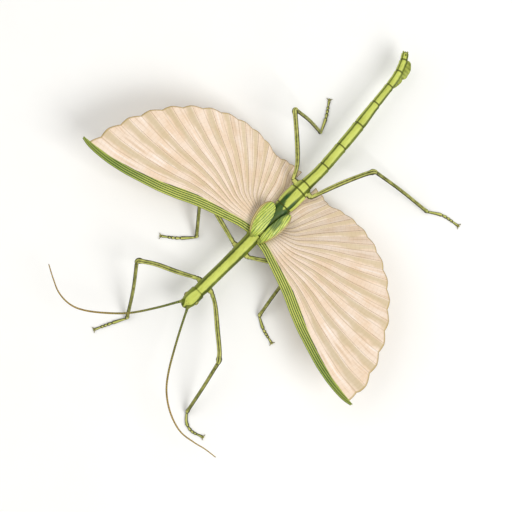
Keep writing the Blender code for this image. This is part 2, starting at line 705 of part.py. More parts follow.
def main():
    clear_scene()
    carrier = bpy.data.objects.new("stick_insect", None)
    bpy.context.scene.collection.objects.link(carrier)

    body = make_finish("body_cuticle", "b3be58", 0.45)
    leg = make_finish("leg_cuticle", "8a9040", 0.5)
    foot = make_finish("foot_cuticle", "6f6a2e", 0.55)
    feeler = make_finish("antenna_cuticle", "8c8238", 0.55)
    eye = make_finish("compound_eye", "5a4a20", 0.2)
    band = make_finish("wing_band", "7d9a2e", 0.4)
    membrane = make_finish("wing_membrane", "ecd6bc", 0.6)
    forewing = make_finish("forewing_leather", "a8c84a", 0.45)

    make_head(body, eye)
    make_mouthparts(leg)
    make_antennae(feeler)
    make_thorax(body)
    make_abdomen(body)
    make_operculum(body)
    make_cerci(body)
    for name, points in LEGS.items():
        make_leg(name, points, leg, foot)
    for side, wing in WINGS.items():
        make_front_band(side, wing, band)
        make_fan(side, wing, membrane)
        make_tegmen(side, wing["sign"], FOREWINGS[side], forewing)
    stand_on_origin(carrier)


main()
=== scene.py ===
"""The looks of a giant winged stick insect that stands with both wings spread.

Every piece is modelled in millimetres in the body's own frame, as its solids are: the head points
to -Y, the tail to +Y, the insect's left side is at +X, the feet stand at height zero and the wing
roots are at y = 0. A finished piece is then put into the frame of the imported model, in metres.

Round pieces start as sections set out like the ribs of a hull, which are bridged and smoothed.
Wings start as grids. Fine relief is then pressed in along the surface normals, and each piece
keeps named attributes, such as the distance along it, that its finish reads.
"""

import math

import bpy
import numpy as np
from mathutils import Matrix, Vector


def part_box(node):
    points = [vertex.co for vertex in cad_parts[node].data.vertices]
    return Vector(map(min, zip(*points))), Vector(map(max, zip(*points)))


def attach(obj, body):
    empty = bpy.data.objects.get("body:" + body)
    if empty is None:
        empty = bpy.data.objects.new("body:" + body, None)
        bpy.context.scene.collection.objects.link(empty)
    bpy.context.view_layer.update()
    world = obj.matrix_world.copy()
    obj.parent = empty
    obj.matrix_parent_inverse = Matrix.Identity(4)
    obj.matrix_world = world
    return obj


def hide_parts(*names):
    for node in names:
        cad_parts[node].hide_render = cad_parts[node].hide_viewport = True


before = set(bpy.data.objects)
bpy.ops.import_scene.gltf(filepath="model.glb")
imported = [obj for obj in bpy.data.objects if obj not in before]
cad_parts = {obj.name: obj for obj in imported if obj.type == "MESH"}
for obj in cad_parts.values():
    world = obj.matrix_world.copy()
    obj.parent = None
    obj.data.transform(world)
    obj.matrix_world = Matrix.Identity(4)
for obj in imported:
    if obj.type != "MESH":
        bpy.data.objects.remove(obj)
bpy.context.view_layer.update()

MM = 0.001
UP = Vector((0.0, 0.0, 1.0))
SIDES = {"left": 1, "right": -1}

# ---------------------------------------------------------------- the insect's shape, in mm
# The body's midline seen from above: (distance along the body, distance to the left).
MIDLINE = (
    (-62.0, -3.8), (-49.0, -2.7), (-16.0, -0.1), (12.0, 1.5), (36.0, 3.1), (57.0, 4.8),
    (80.0, 4.5), (105.0, 3.2), (124.0, 2.1), (134.0, -0.3), (142.0, -4.4),
)
# Half the width and half the height of the thorax and the abdomen: (place along the body, size).
HALF_WIDTH = (
    (-49.0, 4.2), (-42.0, 4.1), (-30.0, 4.0), (-10.0, 4.4), (5.0, 4.6), (20.0, 5.0),
    (29.0, 5.7), (36.0, 5.5), (39.0, 5.1), (41.3, 4.3), (44.5, 3.85), (57.0, 3.7), (89.0, 3.6),
    (106.0, 2.95), (119.0, 2.7), (136.0, 2.4), (140.5, 2.1),
)
HALF_HEIGHT = (
    (-49.0, 3.6), (-10.0, 3.9), (10.0, 4.0), (36.0, 3.7), (57.0, 3.5), (89.0, 3.3),
    (106.0, 2.8), (119.0, 2.5), (136.0, 2.0), (140.5, 1.7),
)
AXIS_HEIGHT = ((-62.0, 17.6), (0.0, 17.5), (36.0, 17.0), (90.0, 16.6), (142.0, 16.4))
NECK = -49.0                # between the head and the thorax
THORAX_JOINTS = (-41.0, 0.0)
ABDOMEN_JOINTS = (23.0, 36.0, 41.5, 57.0, 72.5, 89.4, 105.6, 119.0, 129.2, 136.3)
CLEAR_JOINTS = (NECK, THORAX_JOINTS[1]) + ABDOMEN_JOINTS
TAIL_END = 140.3

# The head, and the mouthparts under it: place, half width, half height, height of the middle.
HEAD = (
    (-62.1, 1.5, 1.4, 16.4), (-61.5, 2.5, 2.3, 16.6), (-60.2, 3.4, 3.0, 16.9),
    (-58.4, 4.1, 3.6, 17.2), (-56.0, 4.6, 4.0, 17.5), (-53.0, 4.7, 4.1, 17.7),
    (-50.2, 4.5, 3.9, 17.6), (-49.0, 4.2, 3.6, 17.5),
)
MOUTHPARTS = (
    (-56.6, 1.5, 1.0, 13.2), (-57.8, 2.3, 1.7, 13.2), (-59.4, 2.5, 2.0, 13.4),
    (-61.0, 2.1, 1.8, 13.9), (-62.2, 1.1, 1.2, 14.4),
)
# A palp's points: out from the midline, along the body, and height.
PALP_ROOT = ((1.5, -57.6, 13.0), (2.4, -57.9, 12.6))      # inside the mouth
PALP = ((2.95, -58.6, 12.5), (3.3, -60.0, 11.6), (2.9, -61.5, 11.7))
EYE_SPREAD = 3.95
EYE_PLACE = -55.2
EYE_HEIGHT = 18.7
EYE_RADII = (1.3, 1.75, 1.5)

# The keeled plate under the tail: place, left of the origin, half width, half height.
OPERCULUM = (
    (118.6, 2.8, 1.9, 0.9), (121.5, 3.0, 2.9, 1.8), (127.0, 3.3, 3.2, 2.3),
    (132.0, 3.2, 3.5, 2.2), (135.4, 2.5, 3.2, 1.7), (137.6, 1.7, 1.9, 0.9),
)
OPERCULUM_HEIGHT = 14.3

# Hind wings: root and tip seen from above, how long the fan's first vein would be if the tip did
# not end it, and how far its last vein turns from straight back, in degrees.
WINGS = {
    "left": {"apex": (6.4, -0.8), "tip": (111.0, -39.4), "reach": 111.6, "anal": 4.0},
    "right": {"apex": (-6.4, 0.8), "tip": (-115.3, -24.6), "reach": 107.0, "anal": -4.0},
}
# Forewings: how far root and tip lie from the body's midline, where the tip is along the body,
# half the width, and how dark the painted shade on the inner half is. The right one lies more over the
# back.
FOREWINGS = {
    "left": {"root": 4.3, "tip": 7.5, "end": 21.6, "half_width": 3.5, "shade": 0.75},
    "right": {"root": 1.7, "tip": 5.7, "end": 20.4, "half_width": 5.1, "shade": 0.1},
}
FOREWING_ROOT = -2.6        # place of both roots along the body
WING_HEIGHT = 19.3          # of a hind wing's root
WING_RISE = 0.13            # the slope of its outer part
ANAL_DROOP = -0.22          # the slope of its inner lobe
FAN_THICKNESS = 0.14
BAND_THICKNESS = 0.42
FOREWING_THICKNESS = 0.35
PLEATS = 14
# Edges of the front band: share of the wing's length, distance in front of the line to its tip.
FRONT_EDGE = (
    (0.0, 3.2), (0.2, 4.2), (0.3, 5.0), (0.42, 6.9), (0.54, 8.0), (0.7, 8.2), (0.81, 7.3),
    (0.9, 5.5), (0.955, 3.6), (1.0, 0.9),
)
BAND_HIND_EDGE = (
    (0.0, -0.8), (0.3, -1.3), (0.38, -0.6), (0.46, 0.9), (0.56, 2.4), (0.7, 3.2), (0.8, 3.1),
    (0.9, 1.8), (0.96, 0.6), (1.0, -0.3),
)
FAN_SHRINK = 0.741          # how much shorter each vein is, per degree away from the band
LOBE_REACH = 45.0           # the length of the shortest veins
TIP_SHARE = 0.97            # the most that a vein takes of the wing's length

# Each pair of legs: the place of the hip, and how far below the body's side it is, in degrees.
HIPS = {"fore": (-44.0, 28.0), "mid": (-13.8, 28.0), "hind": (38.3, 8.0)}
# Each leg: the femur's points, the knee, the tibia's point, the ankle and the foot's points on the
# floor, and how far the painted light band leans to the right on its way out, in degrees.
LEGS = {
    "fore_right": (
        ((-20.7, -49.0, 20.6), (-32.6, -53.6, 24.6)), (-42.6, -59.2, 27.0), (-32.9, -74.6, 15.2),
        ((-24.8, -90.4), (-30.4, -99.8), (-35.0, -108.4)), -9.0),
    "fore_left": (
        ((10.3, -48.9, 18.6), (20.6, -58.6, 22.4), (30.0, -67.4, 25.2)), (34.2, -72.6, 26.0),
        (37.4, -91.0, 14.6), ((40.0, -109.2), (43.9, -114.2), (49.9, -116.2), (56.9, -114.5)), 9.0),
    "mid_right": (
        ((-24.0, -7.4, 18.4),), (-43.0, -0.5, 20.4), (-34.6, -12.6, 11.6),
        ((-25.4, -25.7), (-33.4, -33.4), (-42.0, -39.3)), -9.0),
    "mid_left": (
        ((18.0, -7.4, 17.8),), (31.5, 0.3, 19.4), (32.6, -18.0, 11.0),
        ((34.6, -36.6), (42.0, -41.0), (50.8, -43.9)), 9.0),
    "hind_right": (
        ((-8.3, 47.2, 21.6), (-18.3, 58.2, 28.8)), (-30.9, 70.4, 38.0), (-20.4, 71.8, 20.4),
        ((-10.4, 71.6), (-14.0, 80.6), (-19.4, 89.8)), -12.0),
    "hind_left": (
        ((18.3, 54.3, 19.4), (25.0, 67.3, 22.8)), (29.3, 74.4, 24.0), (48.6, 76.6, 14.2),
        ((69.7, 78.0), (78.4, 82.6), (89.2, 84.0)), -12.0),
}
ANKLE_HEIGHT = 2.1
KNEE_BEND = 1.5             # how far before and behind the knee a leg starts to bend
# The coxa's radii go by the distance out from the body, the others by the share of their length.
COXA_RADII = ((-1.4, 1.8), (0.0, 2.0), (1.1, 1.9), (2.0, 1.65), (2.55, 1.3))
FEMUR_RADII = ((0.0, 1.5), (0.12, 1.32), (0.25, 1.45), (0.5, 1.57), (0.88, 1.48), (1.0, 1.6))
TIBIA_RADII = ((0.0, 1.34), (0.08, 1.2), (0.6, 1.15), (0.93, 1.15), (1.0, 1.22))
TARSUS_LENGTHS = (0.42, 0.15, 0.12, 0.1, 0.21)      # shares of the foot for its five joints
TARSUS_HALF_WIDTH = 1.12    # of the first of them
TARSUS_HEIGHT = 1.55

# Points of the antennae, from just outside the head to the tip.
ANTENNAE = {
    "left": (
        (-1.3, -60.9, 19.8), (3.5, -72.2, 21.6), (9.7, -85.7, 24.0), (16.0, -97.9, 25.6),
        (22.8, -107.2, 26.2), (32.7, -114.9, 25.8), (44.2, -119.4, 24.4), (54.7, -119.0, 22.6),
        (62.4, -117.8, 20.8), (70.3, -117.4, 19.0),
    ),
    "right": (
        (-6.9, -60.7, 19.8), (-15.5, -73.5, 21.8), (-25.7, -86.4, 24.4), (-38.1, -96.9, 26.0),
        (-48.5, -103.4, 26.2), (-56.7, -105.6, 25.4), (-65.4, -104.6, 23.8), (-73.6, -100.6, 21.6),
        (-80.9, -96.3, 19.0),
    ),
}
ANTENNA_SOCKETS = {"left": (-2.7, -59.2, 18.0), "right": (-5.3, -59.0, 18.0)}   # in the head
# The antennae's radii go by the share of their length.
ANTENNA_RADII = ((0.0, 1.0), (0.04, 0.95), (0.06, 0.76), (0.35, 0.66), (0.7, 0.52), (1.0, 0.32))
BEAD_LENGTH = 1.5           # of one ring of an antenna

# ---------------------------------------------------------------- fine relief and finish, in mm
BODY_SIDES = 14             # corners of the body's sections before smoothing
LEG_SIDES = 10              # corners of a leg's sections
SUTURE_DEPTH = 0.28         # of the groove in a joint of the body
ALL = np.inf                # the width of a fold that runs all the way along or about
PAINTED_LIGHT_TURN = 33.0            # half the angle that the painted light band takes of the body's back, degrees
PAINTED_LIGHT_LEAN = 5.0             # how far the painted light band's middle lies to the insect's left, the key light's side, degrees
LEG_PAINTED_LIGHT_TURN = 44.0        # half the painted light band's angle on a leg
LEG_LINE_TURN = 12.0        # half the angle of the dark line along the top of a leg
TIBIA_PAINTED_LIGHT_LOSS = 12.0      # by how much that half angle is less below the knee
BAND_PITCH = 1.25           # between the long veins of the front band
BAND_CROSS = 1.6            # between its cross veins
FAN_CROSS = 2.6             # between the fan's cross veins
STROKES_PER_PLEAT = 7.0     # fine streaks of colour side by side in the fan
STROKE_LENGTH = 25.0        # of one of those streaks
FOREWING_PITCH = 1.4        # between the long veins of a forewing
FOREWING_CROSS = 1.9        # between its cross veins
LOBE_TURN = 64.0            # angle of the furrow inside the lobes before the hind legs
PER_PLEAT = 14              # columns of the fan's grid for one pleat
FAN_ROWS = 84


# ---------------------------------------------------------------- curves
def curve(table):
    """A function that reads (place, value) pairs on a smooth curve without overshoot."""
    places, values = np.array(table, float).T
    steps = np.diff(values) / np.diff(places)
    slopes = np.concatenate(([steps[0]], np.zeros(len(steps) - 1), [steps[-1]]))
    before, after = steps[:-1], steps[1:]
    same = before * after > 0.0
    slopes[1:-1][same] = (2.0 * before * after)[same] / (before + after)[same]

    def read(place):
        place = np.clip(place, places[0], places[-1])
        i = np.clip(np.searchsorted(places, place, side="right") - 1, 0, len(steps) - 1)
        span = places[i + 1] - places[i]
        t = (place - places[i]) / span
        return (
            values[i] * (1 + 2 * t) * (1 - t) ** 2 + slopes[i] * span * t * (1 - t) ** 2
            + values[i + 1] * t * t * (3 - 2 * t) + slopes[i + 1] * span * t * t * (t - 1)
        )
    return read


def columns_of(table, column):
    """One column of a table, as a curve over its first column."""
    return curve([(row[0], row[column]) for row in table])


midline = curve(MIDLINE)
half_width = curve(HALF_WIDTH)
half_height = curve(HALF_HEIGHT)
axis_height = curve(AXIS_HEIGHT)
head_width, head_depth, head_middle = (columns_of(HEAD, column) for column in (1, 2, 3))
front_edge = curve(FRONT_EDGE)
band_hind_edge = curve(BAND_HIND_EDGE)
femur_radius = curve(FEMUR_RADII)
tibia_radius = curve(TIBIA_RADII)
antenna_radius = curve(ANTENNA_RADII)


def point_at(route, distances, place):
    """The point of a route at a distance from its start."""
    return Vector([np.interp(place, distances, axis) for axis in np.array(route).T])


def smooth_route(points, count):
    """Points evenly spaced along a smooth curve through the given points."""
    knots = [Vector(p) for p in points]
    knots = [2 * knots[0] - knots[1]] + knots + [2 * knots[-1] - knots[-2]]
    fine = []
    for a, b, c, d in zip(knots, knots[1:], knots[2:], knots[3:]):
        for step in range(12):
            t = step / 12
            fine.append(0.5 * (
                2 * b + (c - a) * t + (2 * a - 5 * b + 4 * c - d) * t * t
                + (3 * b - a - 3 * c + d) * t ** 3
            ))
    fine.append(knots[-2])
    fine = np.array(fine)
    reach = np.concatenate(([0.0], np.cumsum(np.linalg.norm(np.diff(fine, axis=0), axis=1))))
    goals = np.linspace(0.0, reach[-1], count)
    return [point_at(fine, reach, goal) for goal in goals]


def directions_of(route):
    """The direction of a route at each of its points."""
    last = len(route) - 1
    return [(route[min(i + 1, last)] - route[max(i - 1, 0)]).normalized() for i in range(last + 1)]


def distances_of(route):
    """The distance of each point of a route from its start."""
    reached = [0.0]
    for a, b in zip(route, route[1:]):
        reached.append(reached[-1] + (b - a).length)
    return reached


def sideways(direction):
    """The level direction across a heading: the insect's left, where it leads to the tail."""
    return direction.cross(UP).normalized()


def hump(distance, width):
    """A smooth bump of height one, for relief."""
    return np.exp(-(distance / width) ** 2)


def step(value, start, end):
    """A smooth step from nought at start to one at end."""
    t = np.clip((value - start) / (end - start), 0.0, 1.0)
    return t * t * (3 - 2 * t)


def fade(value, start, end):
    """A smooth step from one at start to nought at end."""
    return 1.0 - step(value, start, end)


def folds(along, angle, rows):
    """Relief as a sum of folds: height, place and width along, angle and width about."""
    return sum(
        height * hump(along - place, width) * hump(angle - middle, spread)
        for height, place, width, middle, spread in rows)


def rings(along, joints):
    """One in each joint, given as its place and width, and nought away from them."""
    return np.max([hump(along - place, width) for place, width in joints], axis=0)


# ---------------------------------------------------------------- modelling helpers
def alone(piece):
    """Selects one piece and makes it active."""
    bpy.ops.object.select_all(action="DESELECT")
    piece.select_set(True)
    bpy.context.view_layer.objects.active = piece
    return piece


def started(name, operator, scale=(1.0, 1.0, 1.0), **settings):
    """Starts a piece with an operator, and puts its place, turn and scale into its mesh."""
    bpy.ops.object.select_all(action="DESELECT")
    operator(**settings)
    piece = bpy.context.object
    piece.name = piece.data.name = name
    piece.scale = scale
    bpy.ops.object.transform_apply(location=True, rotation=True, scale=True)
    return piece


def ball(name, place, radii, segments, lean=0.0):
    """A round piece of three radii, leant about the body's length."""
    return started(
        name, bpy.ops.mesh.primitive_uv_sphere_add, radii, segments=segments,
        ring_count=int(segments * 0.6), radius=1.0, location=place, rotation=(0.0, lean, 0.0))


def raised_rim(name, place, outward, radius, thickness, segments, stretch=1.0):
    """The ring round an eye or round the root of an antenna."""
    return started(
        name, bpy.ops.mesh.primitive_torus_add, (1.0, stretch, 1.0),
        major_segments=segments, minor_segments=10, major_radius=radius, minor_radius=thickness,
        location=place, rotation=outward.to_track_quat("Z", "Y").to_euler())


def points_of(piece):
    points = np.empty(len(piece.data.vertices) * 3)
    piece.data.vertices.foreach_get("co", points)
    return points.reshape(-1, 3)


def set_points(piece, points):
    piece.data.vertices.foreach_set("co", np.ascontiguousarray(points).ravel())
    piece.data.update()


def press(piece, height):
    """Raises or sinks the surface along its normals, in mm."""
    normals = np.empty(len(piece.data.vertices) * 3)
    piece.data.vertex_normals.foreach_get("vector", normals)
    set_points(piece, points_of(piece) + normals.reshape(-1, 3) * np.asarray(height)[:, None])


def keep(piece, **values):
    """Keeps named numbers on a piece's points, for its finish to read."""
    for name, value in values.items():
        kept = piece.data.attributes.get(name) or piece.data.attributes.new(name, "FLOAT", "POINT")
        filled = np.broadcast_to(np.asarray(value, float), (len(piece.data.vertices),))
        kept.data.foreach_set("value", filled.astype(np.float32))


def modify(piece, kind, **settings):
    """Adds a modifier with its settings and applies it."""
    alone(piece)
    modifier = piece.modifiers.new(kind, kind)
    for name, value in settings.items():
        setattr(modifier, name, value)
    bpy.ops.object.modifier_apply(modifier=modifier.name)


def edit(piece, *steps):
    """Runs edit mode operators in turn, each on the whole of a piece."""
    alone(piece)
    bpy.ops.object.mode_set(mode="EDIT")
    for operator, settings in steps:
        bpy.ops.mesh.select_all(action="SELECT")
        operator(**settings)
    bpy.ops.object.mode_set(mode="OBJECT")


def loft(name, ribs, sides, levels=2):
    """A closed skin over round sections, bridged in turn and smoothed.

    A rib is its distance along, centre, direction, half width and half height. Returns the piece,
    and for each point the distance along it and its angle from the top, in degrees, left positive.
    """
    piece = started(name, bpy.ops.object.add, type="MESH")
    fuller = 3.0 / (2.0 + math.cos(2.0 * math.pi / sides))  # smoothing draws a ring inwards
    frames = []
    bpy.ops.object.mode_set(mode="EDIT")
    for _, centre, direction, wide, tall in ribs:
        side = sideways(direction)
        rise = side.cross(direction)
        frames.append((centre, side, rise))
        axes = Matrix((side, rise, -direction)).transposed()
        bpy.ops.mesh.primitive_circle_add(
            vertices=sides, radius=1.0, location=centre, rotation=axes.to_euler())
        bpy.ops.transform.resize(
            value=(wide * fuller, tall * fuller, 1.0), orient_type="GLOBAL", orient_matrix=axes,
            orient_matrix_type="GLOBAL", center_override=centre)
    bpy.ops.object.mode_set(mode="OBJECT")
    edit(
        piece, (bpy.ops.mesh.bridge_edge_loops, {}), (bpy.ops.mesh.fill_holes, {"sides": 0}),
        (bpy.ops.mesh.normals_make_consistent, {"inside": False}))
    places = [rib[0] for rib in ribs]
    keep(piece, along=np.repeat(places, sides))
    modify(piece, "SUBSURF", levels=levels, render_levels=levels)
    along = np.empty(len(piece.data.vertices), np.float32)
    piece.data.attributes["along"].data.foreach_get("value", along)
    along = along.astype(float)
    centres, across, above = (
        np.stack([np.interp(along, places, axis) for axis in np.array(vectors).T], axis=1)
        for vectors in zip(*frames))
    offset = points_of(piece) - centres
    turn = np.degrees(np.arctan2((offset * across).sum(axis=1), (offset * above).sum(axis=1)))
    keep(piece, turn=np.abs(turn))
    return piece, along, turn


def ribs_along(route, sizes):
    """Ribs at the points of a route. A size is a radius, or half a width and half a height."""
    return [
        (distance, point, heading, *np.broadcast_to(size, 2))
        for distance, point, heading, size
        in zip(distances_of(route), route, directions_of(route), sizes)
    ]


def capped(ribs, first, last):
    """Ribs with a rounded end added before the first and after the last, each of its own reach."""
    ends = []
    for (along, centre, direction, wide, tall), reach in ((ribs[0], -first), (ribs[-1], last)):
        ends.append([
            (along + out * reach, centre + direction * out * reach, direction,
             wide * share, tall * share)
            for out, share in ((0.45, 0.86), (0.85, 0.5), (1.0, 0.16))
        ])
    return ends[0][::-1] + ribs + ends[1]


def widths_at(along, ribs):
    """Half the width of a lofted piece at each of its points."""
    return np.interp(along, [rib[0] for rib in ribs], [rib[3] for rib in ribs])


def grid(name, across, along):
    """A flat grid, and for each of its points the share across and along it."""
    piece = started(
        name, bpy.ops.mesh.primitive_grid_add, x_subdivisions=across, y_subdivisions=along,
        size=1.0)
    points = points_of(piece) + 0.5
    return piece, points[:, 0], points[:, 1]


def join(name, whole, *others):
    """Joins pieces into the first one, under a new name."""
    alone(whole)
    for other in others:
        other.select_set(True)
    bpy.ops.object.join()
    whole.name = whole.data.name = name
    return whole


def rest_on_floor(piece):
    """Flattens what would reach below the floor."""
    points = points_of(piece)
    points[:, 2] = np.maximum(points[:, 2], 0.0)
    set_points(piece, points)


def put(piece, finish, slot, *nodes):
    """Puts a piece from the body's millimetres into the frame with its finish, and hides its nodes. The
    slot is not used.
    """
    alone(piece)
    piece.scale = (MM, MM, MM)
    piece.location = ORIGIN
    bpy.ops.object.transform_apply(location=True, rotation=True, scale=True)
    bpy.ops.object.shade_smooth()
    piece.data.materials.clear()
    piece.data.materials.append(finish)
    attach(piece, "root")
    if nodes:
        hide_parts(*nodes)


def body_origin():
    """Where the body's own origin stands: the eyes sit evenly to both sides of the midline."""
    corners = [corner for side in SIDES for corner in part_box("eye_" + side)]
    middle = sum(corners, Vector()) / len(corners)
    return Vector((middle.x - float(midline(EYE_PLACE)) * MM, middle.y - EYE_PLACE * MM, 0.0))


ORIGIN = body_origin()


# ---------------------------------------------------------------- finishes
def linear(colour):
    """A linear colour from an sRGB hex value."""
    levels = [int(colour[i:i + 2], 16) / 255 for i in (0, 2, 4)]
    levels = [v / 12.92 if v <= 0.04045 else ((v + 0.055) / 1.055) ** 2.4 for v in levels]
    return (*levels, 1.0)


def node(tree, kind, *inputs, out=None, **settings):
    """Adds a node, and gives its first output or the named one.

    A second word of its kind is its operation. Its open inputs are filled in turn, each with a
    number, a hex colour or another node's output, and None leaves one as it is.
    """
    kind, _, operation = kind.partition(" ")
    made = tree.nodes.new("ShaderNode" + kind)
    if operation:
        made.operation = operation
    for name, value in settings.items():
        setattr(made, name, value)
    for socket, value in zip([socket for socket in made.inputs if socket.enabled], inputs):
        if isinstance(value, bpy.types.NodeSocket):
            tree.links.new(value, socket)
        elif value is not None:
            socket.default_value = linear(value) if isinstance(value, str) else value
    return made.outputs[out] if out else next(socket for socket in made.outputs if socket.enabled)


def new_finish(name, reads, roughness, **uniform):
    """A material with one shader, its node tree, and the numbers kept on pieces that it reads.

    Uniform values go straight to the shader's sockets.
    """
    material = bpy.data.materials.new(name)
    material.use_nodes = True
    tree = material.node_tree
    sockets = tree.nodes["Principled BSDF"].inputs
    sockets["Roughness"].default_value = roughness
    for socket, value in uniform.items():
        sockets[socket.replace("_", " ")].default_value = value
    numbers = [node(tree, "Attribute", out="Fac", attribute_name=word) for word in reads.split()]
    return material, tree, *numbers


def finished(material, colour, relief=None, depth=0.0, roughness=None):
    """Links a material's colour, its relief of a depth in mm, and its roughness."""
    tree = material.node_tree
    links = {"Base Color": colour}
    if roughness:
        links["Roughness"] = roughness
    if relief:
        links["Normal"] = node(tree, "Bump", 1.0, depth * MM, None, relief)
    for socket, value in links.items():
        tree.links.new(value, tree.nodes["Principled BSDF"].inputs[socket])
    return material


def smooth_step(tree, value, *limits):
    """A value's smooth step between two limits, from nought to one or between two shares."""
    return node(tree, "MapRange", value, *limits, interpolation_type="SMOOTHSTEP")


def coats(tree, colour, *layers):
    """Lays colours over one another. A layer is its colour, a value, and its smooth step's limits.

    Without limits the value itself is the share of the colour that shows.
    """
    for over, share, *limits in layers:
        if limits:
            share = smooth_step(tree, share, *limits)
        colour = node(tree, "Mix", share, colour, over, data_type="RGBA")
    return colour


def grain(tree, size, stretch=(1.0, 1.0, 1.0), detail=2.0):
    """Noise whose patches are about size mm wide, stretched along an axis where wanted."""
    spread = [1.0 / (size * MM * factor) for factor in stretch]
    place = node(tree, "Mapping", node(tree, "TexCoord", out="Object"), None, None, spread)
    return node(tree, "TexNoise", place, 1.0, detail)


def wandering(tree, value, size, reach):
    """A value that wanders up and down by up to half the reach, in patches of a size in mm."""
    offset = node(tree, "Math MULTIPLY_ADD", grain(tree, size), reach, -0.5 * reach)
    return node(tree, "Math ADD", value, offset)


def off_middle(tree, value):
    """How far a value lies from the middle between two whole numbers."""
    share = node(tree, "Math FRACT", value)
    return node(tree, "Math ABSOLUTE", node(tree, "Math SUBTRACT", share, 0.5))


def rungs(tree, ladder, reach, pitch, wander):
    """Nought on the cross veins between two long ones. Each ladder of them starts at random."""
    start = node(tree, "TexWhiteNoise", node(tree, "Math FLOOR", ladder), noise_dimensions="1D")
    start = node(tree, "Math MULTIPLY_ADD", grain(tree, 3.0), wander, start)
    return off_middle(tree, node(tree, "Math MULTIPLY_ADD", reach, 1.0 / pitch, start))


def painted_light_cuticle(name, light, side, line, under, joint, fleck, granule):
    """Waxy insect cuticle: painted light down the back, painted shade on the sides, and dark joints.

    It reads edge, the distance in mm past the painted light band's edge, ring, which is one in a joint,
    a number that is one where painted shade darkens the back, pale, which is painted light on the
    right flank, away from the key light, with a pale rim low on the left, and turn, the angle from the
    top.
    """
    material, tree, edge, ring, dusk, pale, turn = new_finish(
        name, "edge ring dusk pale turn", 0.42,
        Coat_Weight=0.04, Coat_Roughness=0.3, Specular_IOR_Level=0.24)
    edge = wandering(tree, edge, 2.2, 0.7)
    patches = grain(tree, 5.0, (1.0, 2.5, 1.0))
    streaks = grain(tree, 0.55, (1.0, 9.0, 1.0), 3.0)
    mottle = grain(tree, 2.4, (1.0, 1.6, 1.0), 3.0)
    # Mottled dark green: the painted shade between the forewings.
    painted_back_shade_colour = coats(tree, "14481c", ("2d4a08", mottle, 0.36, 0.62))
    # Painted light down the back, painted shade on the flanks with a dark line at its border, painted
    # light and a pale rim on the flanks, streaks, the underside, painted shade between the forewings,
    # and dark joints.
    colour = coats(
        tree, coats(tree, light, (fleck, patches, 0.35, 0.7)),
        (coats(tree, side, (line, patches, 0.3, 0.65)), edge, -0.15, 0.35),
        (line, node(tree, "Math ABSOLUTE", edge), 0.05, 0.42, 0.4, 0.0),
        ("c2cc66", pale),
        (side, streaks, 0.52, 0.75, 0.0, 0.28),
        (under, turn, 105.0, 140.0),
        (painted_back_shade_colour, node(tree, "Math MULTIPLY", dusk, 0.92)),
        (joint, ring, 0.3, 0.8, 0.0, 0.85))
    wax = smooth_step(tree, grain(tree, 1.2), 0.3, 0.7, 0.36, 0.54)
    fine = node(tree, "Math ADD", grain(tree, granule, detail=3.0), streaks)
    return finished(material, colour, fine, 0.06, wax)


def beaded_cuticle(name):
    """Antennal cuticle: dull rings, olive at the head and straw brown towards the tip."""
    material, tree, along, ring = new_finish(name, "along ring", 0.5, Specular_IOR_Level=0.35)
    darker = coats(tree, "4a5220", ("6d5424", along, 8.0, 70.0))
    colour = coats(
        tree, "7f8638",
        ("b0944a", along, 8.0, 70.0),
        (darker, ring, 0.2, 0.75),
        (darker, grain(tree, 3.0, detail=3.0), 0.45, 0.7, 0.0, 0.5))
    return finished(material, colour, grain(tree, 0.25, detail=3.0), 0.04)


def faceted_eye(name):
    """A compound eye: a glossy brown-green cornea over fine facets."""
    material, tree = new_finish(name, "", 0.16, IOR=1.5, Coat_Weight=0.6, Coat_Roughness=0.05)
    facets = node(tree, "TexVoronoi", node(tree, "TexCoord", out="Object"), 1.0 / (0.09 * MM))
    colour = coats(
        tree, "7c7a2c",
        ("a5a548", grain(tree, 0.9, (1.0, 1.0, 2.5)), 0.42, 0.6),
        ("3a3410", facets, 0.35, 0.8, 0.0, 0.35))
    return finished(material, colour, node(tree, "Math SUBTRACT", 1.0, facets), 0.02)


def horn(name, pale, dark):
    """Hard chitin of claws, wing veins and eye lenses: smooth, glossy, darker in patches."""
    material, tree = new_finish(name, "", 0.28, Coat_Weight=0.3, Coat_Roughness=0.12)
    colour = coats(tree, pale, (dark, grain(tree, 1.1, detail=3.0), 0.35, 0.65))
    return finished(material, colour, grain(tree, 0.2), 0.02)


def leathery_band(name):
    """The stiff front of a hind wing: waxy leather, striped light and dark by its long veins."""
    material, tree, across, reach, rule = new_finish(
        name, "across reach rule", 0.4, Coat_Weight=0.1, Coat_Roughness=0.3)
    rule = wandering(tree, rule, 6.0, 0.16)
    dark = coats(tree, "425812", ("2f4a14", reach, 35.0, 80.0))
    pale = coats(
        tree, "c7cc5c",
        ("97a83c", reach, 50.0, 90.0),
        (dark, grain(tree, 5.0, detail=3.0), 0.35, 0.65, 0.0, 0.18))
    colour = coats(
        tree, dark,
        (pale, off_middle(tree, rule), 0.36, 0.27),
        (dark, rungs(tree, rule, reach, BAND_CROSS, 0.0), 0.04, 0.1, 0.3, 0.0),
        ("80882e", reach, 88.0, 108.0, 0.0, 0.5))
    tipped = coats(tree, colour, ("b5bd52", across, 0.84, 0.94, 0.0, 0.85))
    colour = coats(
        tree, colour,
        (tipped, reach, 82.0, 98.0),
        ("4d5e1e", across, 0.07, 0.02, 0.0, 0.8))
    return finished(material, colour, grain(tree, 0.35, detail=3.0), 0.05)


